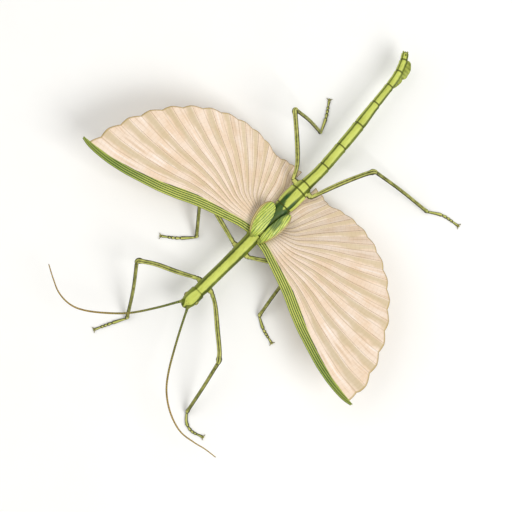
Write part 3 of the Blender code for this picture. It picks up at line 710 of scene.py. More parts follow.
def pleated_membrane(name):
    """The fan of a hind wing: thin dry membrane, cream pink, with painted khaki shade down one slope of
    each pleat.
    """
    material, tree, pleat, reach, share = new_finish(
        name, "pleat reach share", 0.55, Sheen_Weight=0.12, Specular_IOR_Level=0.3)
    phase = node(tree, "Math FRACT", pleat)
    beside = node(tree, "Math MULTIPLY", pleat, STROKES_PER_PLEAT)
    onward = node(tree, "Math MULTIPLY", reach, 1.0 / STROKE_LENGTH)
    strokes = node(tree, "TexNoise", node(tree, "CombineXYZ", beside, onward), 1.0)
    field = coats(
        tree, "f0dcc8",
        ("ead0b4", grain(tree, 14.0, detail=3.0), 0.35, 0.65),
        ("f6e8da", grain(tree, 1.4, detail=4.0), 0.5, 0.8, 0.0, 0.4),
        ("cfb08a", strokes, 0.52, 0.7, 0.0, 0.5),
        ("f9efe6", strokes, 0.42, 0.3, 0.0, 0.6))
    # Painted shade: khaki down one slope of each pleat, stopping short of the next crest, weaker
    # towards the root.
    painted_pleat_shade = coats(tree, field, ("c9b68c", wandering(tree, phase, 9.0, 0.5), 0.5, 0.72, 0.0, 0.8))
    painted_pleat_shade = coats(tree, field, (painted_pleat_shade, phase, 0.985, 0.9))
    ladder = node(tree, "Math MULTIPLY", pleat, 2.0)
    cross = rungs(tree, ladder, reach, FAN_CROSS, 0.5)
    colour = coats(
        tree, field,
        (painted_pleat_shade, share, 0.06, 0.4, 0.35, 0.8),
        ("a48a5c", cross, 0.02, 0.07, 0.14, 0.0),
        ("9c8152", off_middle(tree, pleat), 0.0, 0.04, 0.35, 0.0),
        ("b9b877", share, 0.1, 0.0, 0.0, 0.6),
        ("b39c58", share, 0.988, 0.996, 0.0, 0.7))
    ripple = smooth_step(tree, cross, 0.0, 0.1, 1.0, 0.0)
    ripple = node(tree, "Math ADD", grain(tree, 1.2, detail=3.0), ripple)
    return finished(material, colour, ripple, 0.05)


def ridged_leather(name):
    """The short forewings: thick bright green leather with dark veins, a tan rim and painted shade over
    the inner half.
    """
    material, tree, rim, ridge, share, shade = new_finish(
        name, "rim ridge share shade", 0.38, Coat_Weight=0.15, Coat_Roughness=0.25)
    lines = []
    for place in (0.76, 0.96):
        beside = node(tree, "Math ABSOLUTE", node(tree, "Math SUBTRACT", rim, place))
        lines.append(("8b6c2a", beside, 0.045, 0.025, 0.0, 0.85))
    # The last coat is painted shade over the forewing's inner half.
    colour = coats(
        tree, "b2c145",
        ("c8d25a", grain(tree, 2.5, detail=3.0), 0.35, 0.65),
        ("4a721f", ridge, 0.3, 0.75, 0.0, 0.9),
        ("cdbf7c", rim, 0.66, 0.76, 0.0, 0.85),
        *lines,
        ("7b8f34", share, 0.0, 0.12, 0.6, 0.0),
        ("27541a", shade))
    return finished(material, colour, grain(tree, 0.3, detail=3.0), 0.05)


def matte_board(name):
    """A painted board under the insect: matte, almost white."""
    material, tree = new_finish(name, "", 0.9, Specular_IOR_Level=0.2)
    return finished(material, coats(tree, "f6f5f1", ("faf9f6", grain(tree, 40.0, detail=4.0))))


# ---------------------------------------------------------------- body
def on_body(place):
    """The centre, direction, half width and half height of the body at a place along it."""
    def point(y):
        return Vector((midline(y), y, head_middle(y) if y < NECK else axis_height(y)))
    direction = (point(place + 0.5) - point(place - 0.5)).normalized()
    sizes = (head_width, head_depth) if place < NECK else (half_width, half_height)
    return point(place), direction, *(float(size(place)) for size in sizes)


def body_places():
    """Where the body's sections stand: closer together at each joint."""
    joints = (NECK,) + THORAX_JOINTS + ABDOMEN_JOINTS
    near = [joint + offset for joint in joints for offset in (-1.0, -0.35, 0.0, 0.35, 1.0)]
    regular = np.arange(HEAD[0][0] + 0.4, TAIL_END - 1.5, 2.2)
    spaced = [y for y in regular if min(abs(y - joint) for joint in joints) > 1.6]
    return sorted(near + spaced + [TAIL_END - 1.2, TAIL_END - 0.5, TAIL_END - 0.2])


def bowed(along, turn):
    """The place along the body, for joints that bow towards the tail on the back."""
    return along - 0.7 * np.clip(np.cos(np.radians(turn)), 0.0, 1.0) * step(along, 20.0, 50.0)


def body_relief(along, turn):
    """The height of the body's fine relief: joints, keels, folds and breathing holes."""
    angle = np.abs(turn)
    height = folds(bowed(along, turn), angle, [
        (depth, joint + offset, width, 0.0, ALL)
        for joint in CLEAR_JOINTS
        for depth, offset, width in ((-SUTURE_DEPTH, 0.0, 0.3), (0.16, -1.1, 0.8), (-0.12, 0.9, 0.9))
    ])
    height += folds(along, angle, (
        (-0.07, THORAX_JOINTS[0], 0.4, 0.0, ALL), (-0.12, 34.6, 0.3, 0.0, 60.0)))
    for hip in (HIPS["fore"][0], HIPS["mid"][0]):
        height += folds(along, angle, (
            (0.3, hip, 2.4, 112.0, 26.0), (-0.14, hip - 3.6, 0.6, 105.0, 30.0)))
    height += step(along, NECK + 1.0, NECK + 4.0) * (
        0.15 * hump(np.abs(turn - PAINTED_LIGHT_LEAN) - PAINTED_LIGHT_TURN - 5.0, 5.0) + 0.07 * hump(turn, 3.5)
        + 0.12 * hump(angle - 150.0, 8.0))
    height -= 0.2 * hump(angle - 112.0, 5.0) * step(along, 41.0, 44.0)
    height += step(along, 20.0, 25.0) * fade(along, 38.0, 41.0) * (
        0.25 * hump(angle - LOBE_TURN - 22.0, 15.0) - 0.5 * hump(angle - LOBE_TURN, 6.0)
        - 0.18 * hump(angle - 118.0, 7.0))
    for start, end in zip(ABDOMEN_JOINTS[2:], ABDOMEN_JOINTS[3:]):
        hole = start + 0.22 * (end - start)
        distance = np.hypot(along - hole, (angle - 100.0) * 0.06)
        height += 0.1 * hump(distance - 0.5, 0.2) - 0.22 * hump(distance, 0.3)
        height += folds(along, angle, ((-0.06, (start + end) / 2, 3.0, 70.0, 14.0),))
    return height


def head_relief(along, turn):
    """Furrows of the crown and across the head, a groove low along each side, and the brow over each
    eye.
    """
    angle = np.abs(turn)
    on_head = fade(along, NECK - 1.2, NECK - 0.4)
    crown = 0.1 * hump(turn, 4.0) + 0.09 * hump(angle - 24.0 - (along + 53.0) * 1.5, 4.0)
    height = -crown * step(along, -57.0, -54.0) * on_head
    height += folds(along, angle, (
        (-0.1, -50.9, 0.4, 0.0, 50.0), (0.25, EYE_PLACE, 1.9, 56.0, 14.0)))
    return height + on_head * folds(along, angle, (
        (-0.16, -58.4, 0.5, 0.0, 55.0), (-0.15, 0.0, ALL, 118.0, 6.0)))


def model_body(finish):
    """One skin from the head to the tail."""
    ribs = capped([(y, *on_body(y)) for y in body_places()], 0.5, 0.6)
    body, along, turn = loft("body_skin", ribs, BODY_SIDES)
    press(body, body_relief(along, turn) + head_relief(along, turn))
    angle = np.abs(turn)
    vent = np.hypot(along - TAIL_END + 0.9, (turn - 14.0) * 0.04)
    ring = np.max([
        0.3 * hump(along - THORAX_JOINTS[0], 0.3), 0.6 * hump(along - NECK - 0.2, 0.7),
        rings(bowed(along, turn), [(joint, 0.55) for joint in CLEAR_JOINTS[1:]]),
        0.9 * fade(vent, 0.5, 0.9),
    ], axis=0)
    wide = widths_at(along, ribs)
    # The painted light band's half angle: wider on the head and narrow at its front; edge is the
    # distance past it.
    band = PAINTED_LIGHT_TURN * (1.0 + 0.25 * step(-along, 50.0, 54.0) - 1.0 * step(-along, 57.0, 61.0))
    edge = (np.abs(turn - PAINTED_LIGHT_LEAN) - band) * wide * math.pi / 180
    lobe = step(angle, LOBE_TURN - 6.0, LOBE_TURN) * fade(angle, 96.0, 108.0)
    lobe *= step(along, 20.5, 24.0) * fade(along, 38.0, 40.0)
    across = wide * np.sin(np.radians(turn))
    # Painted shade: the back between the forewings is painted dark green, all but a light tongue down
    # the middle and the flanks from the lobes back.
    tongue = np.interp(along, (19.0, 22.0, 25.0, 29.0, 36.0), (-0.8, 0.6, 2.1, 2.7, 2.6))
    tongue = step(tongue - np.abs(across - 0.4 - 0.9 * hump(along - 22.0, 3.0)), -0.35, 0.35)
    dusk = step(along, 2.0, 6.0) * fade(along, 28.0, 34.0) * (1.0 - tongue)
    dusk *= 1.0 - step(angle, LOBE_TURN - 10.0, LOBE_TURN + 2.0) * step(along, 18.0, 24.0)
    rear = step(along, 4.0, 22.0)
    # Painted light on the right flank, which faces away from the key light: faint in front of the wings
    # and strong behind them. Behind the wings a pale rim also runs low on the left flank.
    pale = step(-turn, 42.0, 56.0) * fade(-turn, 90.0, 115.0)
    pale *= 0.31 * fade(along, -4.0, 4.0) + 0.85 * rear
    pale = np.maximum(pale, 0.6 * rear * step(turn, 76.0, 88.0) * fade(turn, 95.0, 115.0))
    keep(body, ring=ring, edge=edge * (1.0 - lobe) - 0.6 * lobe, dusk=dusk, pale=pale)
    thorax = ("prothorax", "mesothorax", "metathorax")
    segments = [f"abdomen_{number}" for number in range(1, len(ABDOMEN_JOINTS) + 1)]
    put(body, finish, "body_cuticle", "head", *thorax, *segments)


def model_operculum(finish):
    """The keeled scoop under the tail, with a notch between its two lobes."""
    ribs = [
        (place, Vector((left, place, OPERCULUM_HEIGHT)), Vector((0, 1, 0)), wide, tall)
        for place, left, wide, tall in OPERCULUM
    ]
    plate, along, turn = loft("operculum_plate", capped(ribs, 0.8, 0.8), 14, levels=3)
    angle = np.abs(turn)
    side = hump(angle - 90.0, 36.0)
    height = 0.3 * hump(angle - 180.0, 12.0) * step(along, 119.0, 122.0)
    height -= (0.75 * hump(along - 127.4, 0.8) - 0.3 * hump(along - 129.6, 1.2)) * side
    for number, fold in enumerate(np.arange(120.4, 136.0, 1.15)):
        height += folds(along, angle, (
            (0.13 if number % 2 else 0.08, fold, 0.3, 90.0, 36.0),
            (-0.1, fold + 0.5, 0.2, 120.0, 12.0)))
    press(plate, height)
    ring = 0.9 * hump(along - 127.4, 0.45) * side + 0.5 * hump(angle - 122.0, 5.0)
    edge = 0.12 * np.sin((along - 120.4) * 2.0 * math.pi / 2.3) - 0.02
    # edge: stripes across the plate, and the painted shade colour low on its sides.
    keep(plate, ring=ring, edge=edge + step(angle, 80.0, 120.0) * 0.25)
    put(plate, finish, "body_cuticle", "operculum")


def model_cerci(finish):
    """Two short leaf-shaped tail feelers, and the pointed flap between them."""
    end, direction, _, _ = on_body(TAIL_END)
    side = sideways(direction)
    shape = (                   # how far out and aside, half width, half height
        (-0.6, 1.0, 0.35, 0.28), (0.1, 1.15, 0.5, 0.32), (0.6, 1.25, 0.62, 0.32),
        (1.0, 1.2, 0.45, 0.26), (1.35, 1.0, 0.14, 0.1),
    )
    for name, way in SIDES.items():
        route = [end + direction * out + side * way * aside for out, aside, _, _ in shape]
        leaf, along, turn = loft(
            f"tail_feeler_{name}", ribs_along(route, [sizes[2:] for sizes in shape]), 8)
        press(leaf, 0.07 * hump(turn, 14.0))
        # edge: painted light along the top, painted shade on the sides.
        keep(leaf, ring=hump(along - 0.8, 0.2), edge=(np.abs(turn) - 30.0) * 0.02)
        put(leaf, finish, "body_cuticle", "cercus_" + name)
    flap = [
        (out, end + direction * out + UP * 0.5, direction, wide, tall)
        for out, wide, tall
        in ((-1.2, 1.1, 0.6), (0.2, 0.9, 0.5), (0.8, 0.5, 0.32), (1.2, 0.14, 0.12))
    ]
    flap, along, turn = loft("tail_flap", flap, 8)
    # edge: painted light along the top, painted shade on the sides.
    keep(flap, ring=hump(along - 0.9, 0.2), edge=(np.abs(turn) - 25.0) * 0.02)
    put(flap, finish, "body_cuticle")


# ---------------------------------------------------------------- head
def model_eyes(finish, socket_finish):
    """Round compound eyes, each in a narrow raised rim."""
    middle = float(midline(EYE_PLACE))
    for name, way in SIDES.items():
        centre = Vector((middle + way * EYE_SPREAD, EYE_PLACE, EYE_HEIGHT))
        eye = ball("compound_eye_" + name, centre, EYE_RADII, 40)
        put(eye, finish, "compound_eye", "eye_" + name)
        outward = Vector((way, 0.0, 0.32)).normalized()
        rim = raised_rim("eye_rim_" + name, centre - outward * 0.3, outward, 1.5, 0.26, 40, 1.12)
        keep(rim, ring=0.35, edge=0.5, turn=60.0)
        put(rim, socket_finish, "body_cuticle")


def model_ocelli(finish):
    """Three small simple eyes between the antennae."""
    for name, across, place in (("front", 0.0, -59.3), ("left", 0.85, -58.3), ("right", -0.85, -58.3)):
        centre, _, wide, tall = on_body(place)
        height = tall * math.sqrt(1.0 - (across / wide) ** 2)
        lens = ball("ocellus_" + name, centre + Vector((across, 0.0, height - 0.12)), (0.27,) * 3, 20)
        put(lens, finish, "compound_eye")


def model_mouthparts(finish):
    """Lip, jaws and palps under the front of the head."""
    ribs = []
    for place, wide, tall, height in reversed(MOUTHPARTS):
        centre, direction, _, _ = on_body(place)
        centre.z = height
        ribs.append((place, centre, direction, wide, tall))
    jaws, along, turn = loft("mouthparts_skin", capped(ribs, 0.5, 0.7), 14)
    angle = np.abs(turn)
    height = -0.28 * hump(turn, 5.0) * fade(along, -60.5, -59.5)
    press(jaws, height + folds(along, angle, (
        (-0.22, -60.7, 0.28, 60.0, 60.0), (-0.18, 0.0, ALL, 62.0, 6.0), (-0.2, 0.0, ALL, 128.0, 7.0),
        (0.25, -59.6, 0.8, 92.0, 18.0))))
    # edge: painted light along the top, painted shade lower down.
    keep(jaws, ring=hump(along + 60.7, 0.3), edge=(angle - 70.0) * 0.03)
    put(jaws, finish, "leg_cuticle", "mouthparts")
    middle = float(midline(-59.5))
    for name, way in SIDES.items():
        outer = [Vector((middle + way * across, y, z)) for across, y, z in PALP_ROOT + PALP]
        inner = [point + Vector((-way * 1.55, 0.75, 0.1)) for point in outer]
        inner[-1] += Vector((0.0, 0.5, 0.1))
        model_palp("palp_skin_" + name, smooth_route(outer, 25), 0.37, finish, "palp_" + name)
        model_palp("lip_palp_" + name, smooth_route(inner, 19), 0.27, finish)


def model_palp(name, route, radius, finish, *nodes):
    """A small jointed feeler of the mouth."""
    sizes = [radius * (1.0 if i % 6 else 0.72) * (1.0 - 0.012 * i) for i in range(len(route))]
    palp, along, turn = loft(
        name, capped(ribs_along(route, sizes), radius, radius * 0.8), 8, levels=1)
    spacing = distances_of(route)[6]
    ring = hump((along + spacing / 2) % spacing - spacing / 2, 0.16)
    # edge: painted light along the top, painted shade lower down.
    keep(palp, ring=ring, edge=(np.abs(turn) - 60.0) * 0.01)
    put(palp, finish, "leg_cuticle", *nodes)


# ---------------------------------------------------------------- antennae
def model_antenna(side, finish, socket_finish):
    """A thick first joint in a raised socket, a short one, and a string of beads to the tip."""
    route = smooth_route((ANTENNA_SOCKETS[side],) + ANTENNAE[side], 600)
    distances, headings = distances_of(route), directions_of(route)
    length = distances[-1]
    joints = [0.0, 4.8, 6.1]
    while joints[-1] < length - BEAD_LENGTH:
        joints.append(joints[-1] + BEAD_LENGTH * (0.75 + 0.4 * len(joints) / 60))
    ribs = []
    for start, end in zip(joints, joints[1:] + [length]):
        for share, swell in ((0.0, 0.84), (0.2, 1.0), (0.82, 1.07)):
            place = start + share * (end - start)
            heading = headings[min(int(np.searchsorted(distances, place)), len(headings) - 1)]
            size = float(antenna_radius(place / length)) * swell
            ribs.append((place, point_at(route, distances, place), heading, size, size))
    antenna, along, _ = loft(f"antenna_skin_{side}", capped(ribs, 0.8, 0.5), 8, levels=1)
    keep(antenna, ring=rings(along, [(joint, 0.26) for joint in joints]))
    nodes = [f"antenna_{side}_{part}" for part in ("base", "middle", "tip")]
    put(antenna, finish, "antenna_cuticle", *nodes)
    seat = int(np.searchsorted(distances, 2.1))
    socket = raised_rim("antenna_socket_" + side, route[seat], headings[seat], 1.12, 0.28, 36)
    keep(socket, ring=0.25, edge=0.3, turn=40.0)
    put(socket, socket_finish, "body_cuticle")


# ---------------------------------------------------------------- legs
def hip_of(pair, way):
    """Where a leg leaves the body, and its direction there."""
    place, drop = HIPS[pair]
    centre, direction, wide, tall = on_body(place)
    side = sideways(direction) * way
    angle = math.radians(-drop)
    outward = side * math.cos(angle) / wide + UP * math.sin(angle) / tall
    return centre + side * wide * math.cos(angle) + UP * tall * math.sin(angle), outward.normalized()


def leg_stations(name):
    """The points and radii of a leg, which of them are hip, knee and ankle, and the foot's route."""
    pair, side = name.split("_")
    femur_points, knee, tibia_point, floor_points, _ = LEGS[name]
    root, outward = hip_of(pair, SIDES[side])
    knee, ankle = Vector(knee), Vector((*floor_points[0], ANKLE_HEIGHT))
    femur_tip = knee - (knee - Vector(femur_points[-1])).normalized() * KNEE_BEND
    tibia_top = knee + (Vector(tibia_point) - knee).normalized() * KNEE_BEND
    stations = [(root + outward * out, radius) for out, radius in COXA_RADII]
    femur = smooth_route([stations[-1][0], *femur_points, femur_tip], 24)
    stations += [(point, float(femur_radius(i / 23))) for i, point in enumerate(femur)][1:]
    hip, knee_at = len(COXA_RADII) - 1, len(stations) + 1
    for t in (0.25, 0.5, 0.75):
        bend = femur_tip * (1 - t) ** 2 + knee * 2 * t * (1 - t) + tibia_top * t * t
        stations.append((bend, 1.6))
    tibia = smooth_route([tibia_top, tibia_point, ankle], 22)
    stations += [(point, float(tibia_radius(i / 21))) for i, point in enumerate(tibia)]
    foot = smooth_route([(x, y, 0.0) for x, y in floor_points], 61)
    return stations, (hip, knee_at, len(stations) - 1), foot


def foot_ribs(foot, ground, start):
    """Ribs of the five joints of a foot, which lie on the floor. start is their distance along."""
    distances = distances_of(foot)
    total = distances[-1]
    lead = (TIBIA_RADII[-1][1] + 0.3) / total
    ribs, joints = [], []

    def rib(share, wide, tall, lift=0.0):
        point = point_at(foot, distances, share * total)
        point.z = lift + tall / 2
        index = min(int(share * (len(foot) - 1)), len(foot) - 1)
        ribs.append((start + share * total, point, ground[index], wide, tall / 2))

    reached = lead
    for number, length in enumerate(TARSUS_LENGTHS):
        end = reached + length * (1.0 - lead)
        taper = 1.0 - 0.05 * number
        wide, tall = TARSUS_HALF_WIDTH * taper, TARSUS_HEIGHT * taper
        if number:
            joints.append(start + reached * total)
            rib(reached, wide * 0.62, tall * 0.7, 0.18)
        rib(reached + 0.18 * (end - reached), wide * 0.74, tall * 0.84)
        rib(reached + 0.55 * (end - reached), wide * 0.8, tall * 0.9)
        rib(end - 0.14 * (end - reached), wide, tall)
        reached = end
    return ribs, joints


def leg_thorns(name, ribs, spans):
    """Small thorns in two rows along the underside of the femur and the tibia."""
    thorns = started(name + "_thorns", bpy.ops.object.add, type="MESH")
    places = [rib[0] for rib in ribs]
    bpy.ops.object.mode_set(mode="EDIT")
    for start, end, gap in spans:
        for number, place in enumerate(np.arange(start, end, gap)):
            _, centre, direction, wide, _ = ribs[int(np.searchsorted(places, place))]
            side = sideways(direction)
            way = 1 if number % 2 else -1
            out = (side * way * 0.62 - side.cross(direction) * 0.78).normalized()
            lean = (out + direction * 0.75).normalized()
            bpy.ops.mesh.primitive_cone_add(
                vertices=7, radius1=0.24, radius2=0.03, depth=1.0, end_fill_type="NGON",
                location=centre + out * wide * 0.95 + lean * 0.3,
                rotation=lean.to_track_quat("Z", "Y").to_euler())
    bpy.ops.object.mode_set(mode="OBJECT")
    keep(thorns, along=0.0, turn=90.0, ring=0.0, edge=1.0)
    return thorns


def model_leg(name, finish):
    """One skin for coxa, femur, tibia and the five joints of the foot. Gives the foot's route."""
    stations, marks, foot = leg_stations(name)
    ground = directions_of(foot)
    ribs = ribs_along(*zip(*stations))
    hip, knee, ankle = (ribs[mark][0] for mark in marks)
    reached, end, heading = ribs[-1][:3]
    toes, joints = foot_ribs(foot, ground, reached + 1.4)
    ribs.append((
        reached + 1.0, Vector((end.x, end.y, 0.86)) + ground[0] * 0.7,
        (heading + ground[0]).normalized(), 0.72, 0.66))
    ribs = capped(ribs + toes, 0.6, 0.55)
    skin, along, turn = loft(f"leg_{name}", ribs, LEG_SIDES)
    angle = np.abs(turn)
    rod = step(along, hip + 2.0, hip + 5.0) * fade(along, ankle - 2.0, ankle)
    height = rod * folds(along, angle, (
        (0.16, 0.0, ALL, LEG_PAINTED_LIGHT_TURN + 6.0, 8.0), (0.1, 0.0, ALL, 0.0, 7.0),
        (-0.08, 0.0, ALL, 24.0, 9.0), (0.16, 0.0, ALL, 138.0, 9.0), (-0.12, 0.0, ALL, 88.0, 18.0)))
    height += folds(along, angle, (
        (0.4, knee - 1.2, 1.2, 92.0, 28.0), (-0.32, knee + 1.7, 0.45, 0.0, ALL),
        (-0.24, hip + 1.5, 0.4, 0.0, ALL), (-0.2, hip - 1.7, 0.35, 0.0, ALL),
        (0.25, ankle - 0.9, 0.7, 100.0, 50.0)))
    for joint in joints:
        height += folds(along, angle, (
            (0.25, joint - 0.9, 0.5, 180.0, 40.0), (0.16, joint - 0.8, 0.45, 70.0, 30.0)))
    press(skin, height)
    rest_on_floor(skin)
    # The painted light band along the leg, leant as listed and narrower below the knee, with a dark
    # line down its middle; edge is the distance past it.
    leant = np.abs(turn - LEGS[name][-1])
    band = LEG_PAINTED_LIGHT_TURN - TIBIA_PAINTED_LIGHT_LOSS * step(along, knee - 1.0, knee + 4.0) * rod
    past = np.maximum(leant - band, (LEG_LINE_TURN - leant) * rod - 99.0 * (1.0 - rod))
    ring = rings(along, [
        (hip, 0.45), (knee + 1.6, 0.5), (ankle + 0.5, 0.6), *((joint, 0.5) for joint in joints)])
    keep(skin, ring=ring, edge=past * widths_at(along, ribs) * math.pi / 180)
    thorns = leg_thorns(name, ribs, ((hip + 8.0, knee - 4.0, 3.4), (knee + 5.0, ankle - 2.0, 3.0)))
    join(skin.name, skin, thorns)
    nodes = [f"{name}_{part}" for part in ("coxa", "femur", "tibia", "tarsus")]
    put(skin, finish, "leg_cuticle", *nodes)
    return foot


def model_claws(name, foot, finish, pad_finish):
    """Two spread hooks at the tip of a foot, and the soft pad between them."""
    end, direction = foot[-1], directions_of(foot)[-1]
    side = sideways(direction)
    shape = (                   # how far ahead, how far out, height
        (-0.5, 0.2, 0.8), (0.3, 0.6, 0.95), (0.8, 1.15, 1.0), (1.05, 1.7, 0.75), (0.95, 2.1, 0.35))
    hooks = []
    for way in (1, -1):
        points = [
            end + direction * ahead + side * way * out + UP * height for ahead, out, height in shape]
        sizes = np.linspace(1.0, 0.0, 10) ** 0.7 * 0.4 + 0.05
        ribs = ribs_along(smooth_route(points, 10), sizes)
        hooks.append(loft(f"hook_{name}_{way}", ribs, 8, levels=1)[0])
    claws = join("claws_" + name, *hooks)
    rest_on_floor(claws)
    put(claws, finish, "foot_cuticle")
    ribs = [
        (ahead, end + direction * ahead + UP * (tall + 0.05), direction, wide, tall)
        for ahead, wide, tall in ((-0.5, 0.3, 0.3), (0.4, 0.5, 0.38), (0.9, 0.6, 0.38), (1.3, 0.3, 0.2))
    ]
    pad, _, _ = loft("foot_pad_" + name, ribs, 8)
    rest_on_floor(pad)
    keep(pad, ring=0.25, edge=-0.1)
    put(pad, pad_finish, "foot_cuticle")


# ---------------------------------------------------------------- wings
def wing_frame(side):
    """Apex, direction to the tip, direction to the front, length, and angle from straight back."""
    wing = WINGS[side]
    apex, tip = np.array(wing["apex"]), np.array(wing["tip"])
    length = np.linalg.norm(tip - apex)
    along = (tip - apex) / length
    front = np.array((along[1], -along[0])) * SIDES[side]
    return apex, along, front, length, math.degrees(math.atan2(along[0] * SIDES[side], along[1]))


def wing_height(side, x, y):
    """Height of the wing: the outer wing rises, and the inner lobe droops."""
    apex = WINGS[side]["apex"]
    out, back = (x - apex[0]) * SIDES[side], y - apex[1]
    share = step(np.degrees(np.arctan2(out, back)), 8.0, 65.0)
    slope = ANAL_DROOP + (WING_RISE - ANAL_DROOP) * share
    return WING_HEIGHT + np.hypot(out, back) * slope


def hinge_x(side, place, inset):
    """The side of the body at a wing's hinge, and some way inside it."""
    return float(midline(place)) + SIDES[side] * (float(half_width(place)) - inset)


def vein_relief(rule, ladder, vein_width, rung_width):
    """Long veins at whole numbers of a rule, and cross veins between them, one a step of a ladder.

    Between each two long veins the ladder starts at another place, which looks random.
    """
    start = np.sin(np.floor(rule) * 12.9898) * 4.37
    return hump(rule - np.round(rule), vein_width), hump((ladder + start) % 1.0 - 0.5, rung_width)


def shape_sheet(sheet, plan, height, **values):
    """Gives a grid its plan and its height, and keeps numbers on it."""
    set_points(sheet, np.stack((*plan, height), axis=1))
    keep(sheet, **values)


def stiffen(sheet, side, thickness):
    """Turns a sheet's upper face up and gives it its thickness."""
    if SIDES[side] < 0:
        edit(sheet, (bpy.ops.mesh.flip_normals, {}))
    modify(sheet, "SOLIDIFY", thickness=thickness, offset=0.0)


def model_fan(side, finish, vein_finish):
    """The pleated fan: a vein on each ridge, a finer one in each groove, and a scalloped edge."""
    wing = WINGS[side]
    apex, along, front, length, angle = wing_frame(side)
    spread = angle - wing["anal"]
    fan, across, share = grid(f"fan_{side}", PLEATS * PER_PLEAT, FAN_ROWS)
    share = share ** 0.9
    pleat = across * PLEATS
    turn = spread * across
    full = np.minimum(np.maximum(wing["reach"] - FAN_SHRINK * turn, LOBE_REACH), TIP_SHARE * length)
    away = np.abs(pleat - np.round(pleat)) * 2.0            # nought on a ridge, one in a groove
    full = full * (1.0 - 0.017 * away ** 1.5)
    reach = full * share
    steered = np.hypot(reach, 9.0)                          # keeps the veins calm near the hinge
    edge = band_hind_edge(reach / length) + 0.7
    first = -np.arcsin(np.clip(edge / steered, -0.9, 0.9))
    heading = first + (math.radians(spread) - first) * across
    out = along[:, None] * np.cos(heading) - front[:, None] * np.sin(heading)
    hinge = np.stack((np.full_like(across, hinge_x(side, 4.0, 0.8)), apex[1] + 1.2 + 8.2 * across))
    opened = step(share, 0.0, 0.14 + 0.36 * across)
    plan = apex[:, None] + out * reach + (hinge - apex[:, None]) * (1.0 - opened)
    flank = midline(plan[1]) + SIDES[side] * (half_width(plan[1]) - 1.2)
    beside = step(across, 0.82, 1.0) * fade(plan[1], 28.0, 41.0)
    plan[0] += (flank - plan[0]) * beside
    fold = 0.5 * np.cos(2.0 * math.pi * pleat) + 0.18 * (0.5 - away)
    fold = fold * 1.15 * reach / 80.0 * step(across, 0.0, 0.03)
    billow = 0.35 * np.sin(reach / 13.0 + across * 9.0) * step(reach, 20.0, 80.0)
    height = wing_height(side, *plan) + fold + billow * step(across, 0.0, 0.1) - 0.2
    height = WING_HEIGHT + (height - WING_HEIGHT) * step(share, 0.0, 0.16)
    shape_sheet(fan, plan, height, pleat=pleat, reach=reach, share=share)
    kinds = (                   # column in each pleat, where it starts, radius
        (0, 0.0, 0.24), (PER_PLEAT // 2, 0.22, 0.13), (None, 1.0, 0.12))
    strands = [vein_strands(fan, side, across, share, *kind) for kind in kinds]
    modify(fan, "SOLIDIFY", thickness=FAN_THICKNESS, offset=0.0)
    put(fan, finish, "wing_membrane", f"hindwing_{side}_fan")
    put(join("fan_veins_" + side, *strands), vein_finish, "wing_membrane")


def vein_strands(fan, side, across, share, offset, start, radius):
    """Round strands drawn from the fan's own edges: one column in each pleat, or its margin."""
    columns = np.round(across * PLEATS * PER_PLEAT).astype(int)
    ends = np.empty(len(fan.data.edges) * 2, int)
    fan.data.edges.foreach_get("vertices", ends)
    ends = ends.reshape(-1, 2)
    first, second = columns[ends[:, 0]], columns[ends[:, 1]]
    if offset is None:
        chosen = (share[ends] > 0.9999).all(axis=1)
    else:
        chosen = (first == second) & (first % PER_PLEAT == offset) & (first > 0)
        chosen &= (share[ends] >= start).all(axis=1)
    alone(fan)
    bpy.ops.object.mode_set(mode="EDIT")
    bpy.ops.mesh.select_mode(type="EDGE")
    bpy.ops.mesh.select_all(action="DESELECT")
    bpy.ops.object.mode_set(mode="OBJECT")
    fan.data.edges.foreach_set("select", chosen)
    bpy.ops.object.mode_set(mode="EDIT")
    bpy.ops.mesh.duplicate()
    bpy.ops.mesh.separate(type="SELECTED")
    bpy.ops.object.mode_set(mode="OBJECT")
    strands = [piece for piece in bpy.context.selected_objects if piece != fan][0]
    alone(strands)
    bpy.ops.object.convert(target="CURVE")
    drawn = bpy.context.object
    drawn.data.bevel_depth = radius
    drawn.data.bevel_resolution = 1
    drawn.data.use_fill_caps = True
    apex = WINGS[side]["apex"]
    for spline in drawn.data.splines:
        for point in spline.points:
            distance = math.hypot(point.co.x - apex[0], point.co.y - apex[1])
            taper = min(0.3 + distance / 30.0, 1.0) * max(1.0 - 0.6 * distance / 110.0, 0.4)
            point.radius = 1.0 if offset is None else taper
    bpy.ops.object.convert(target="MESH")
    return bpy.context.object


def model_front_band(side, finish):
    """The stiff green band along the front of a hind wing, ruled with raised veins."""
    apex, along, front, length, _ = wing_frame(side)
    band, across, share = grid(f"front_band_{side}", 56, 300)
    place = 0.012 + 0.983 * share
    base = apex[:, None] + along[:, None] * length * place
    nose, tail = front_edge(place), band_hind_edge(place) + 0.02
    offset = nose + (tail - nose) * across
    root = fade(share, 0.0, 0.05)
    plan = base + front[:, None] * offset
    inner = np.stack((
        np.full_like(across, hinge_x(side, 0.0, 0.7)), apex[1] - 4.0 + 4.6 * across))
    plan = inner * root + plan * (1.0 - root)
    profile = np.interp(across, (0.0, 0.06, 0.3, 1.0), (0.0, 0.45, 1.0, 0.3))
    lift = (0.85 - 0.45 * place) * profile * 0.72
    rule = (nose - tail) * across / BAND_PITCH
    vein, rung = vein_relief(rule, length * share / BAND_CROSS, 0.12, 0.09)
    lift += 0.15 * vein + 0.05 * rung
    height = wing_height(side, *plan) + lift - 0.05
    shape_sheet(band, plan, height, across=across, reach=length * share, rule=rule)
    stiffen(band, side, BAND_THICKNESS)
    put(band, finish, "wing_band", f"hindwing_{side}_front_band")


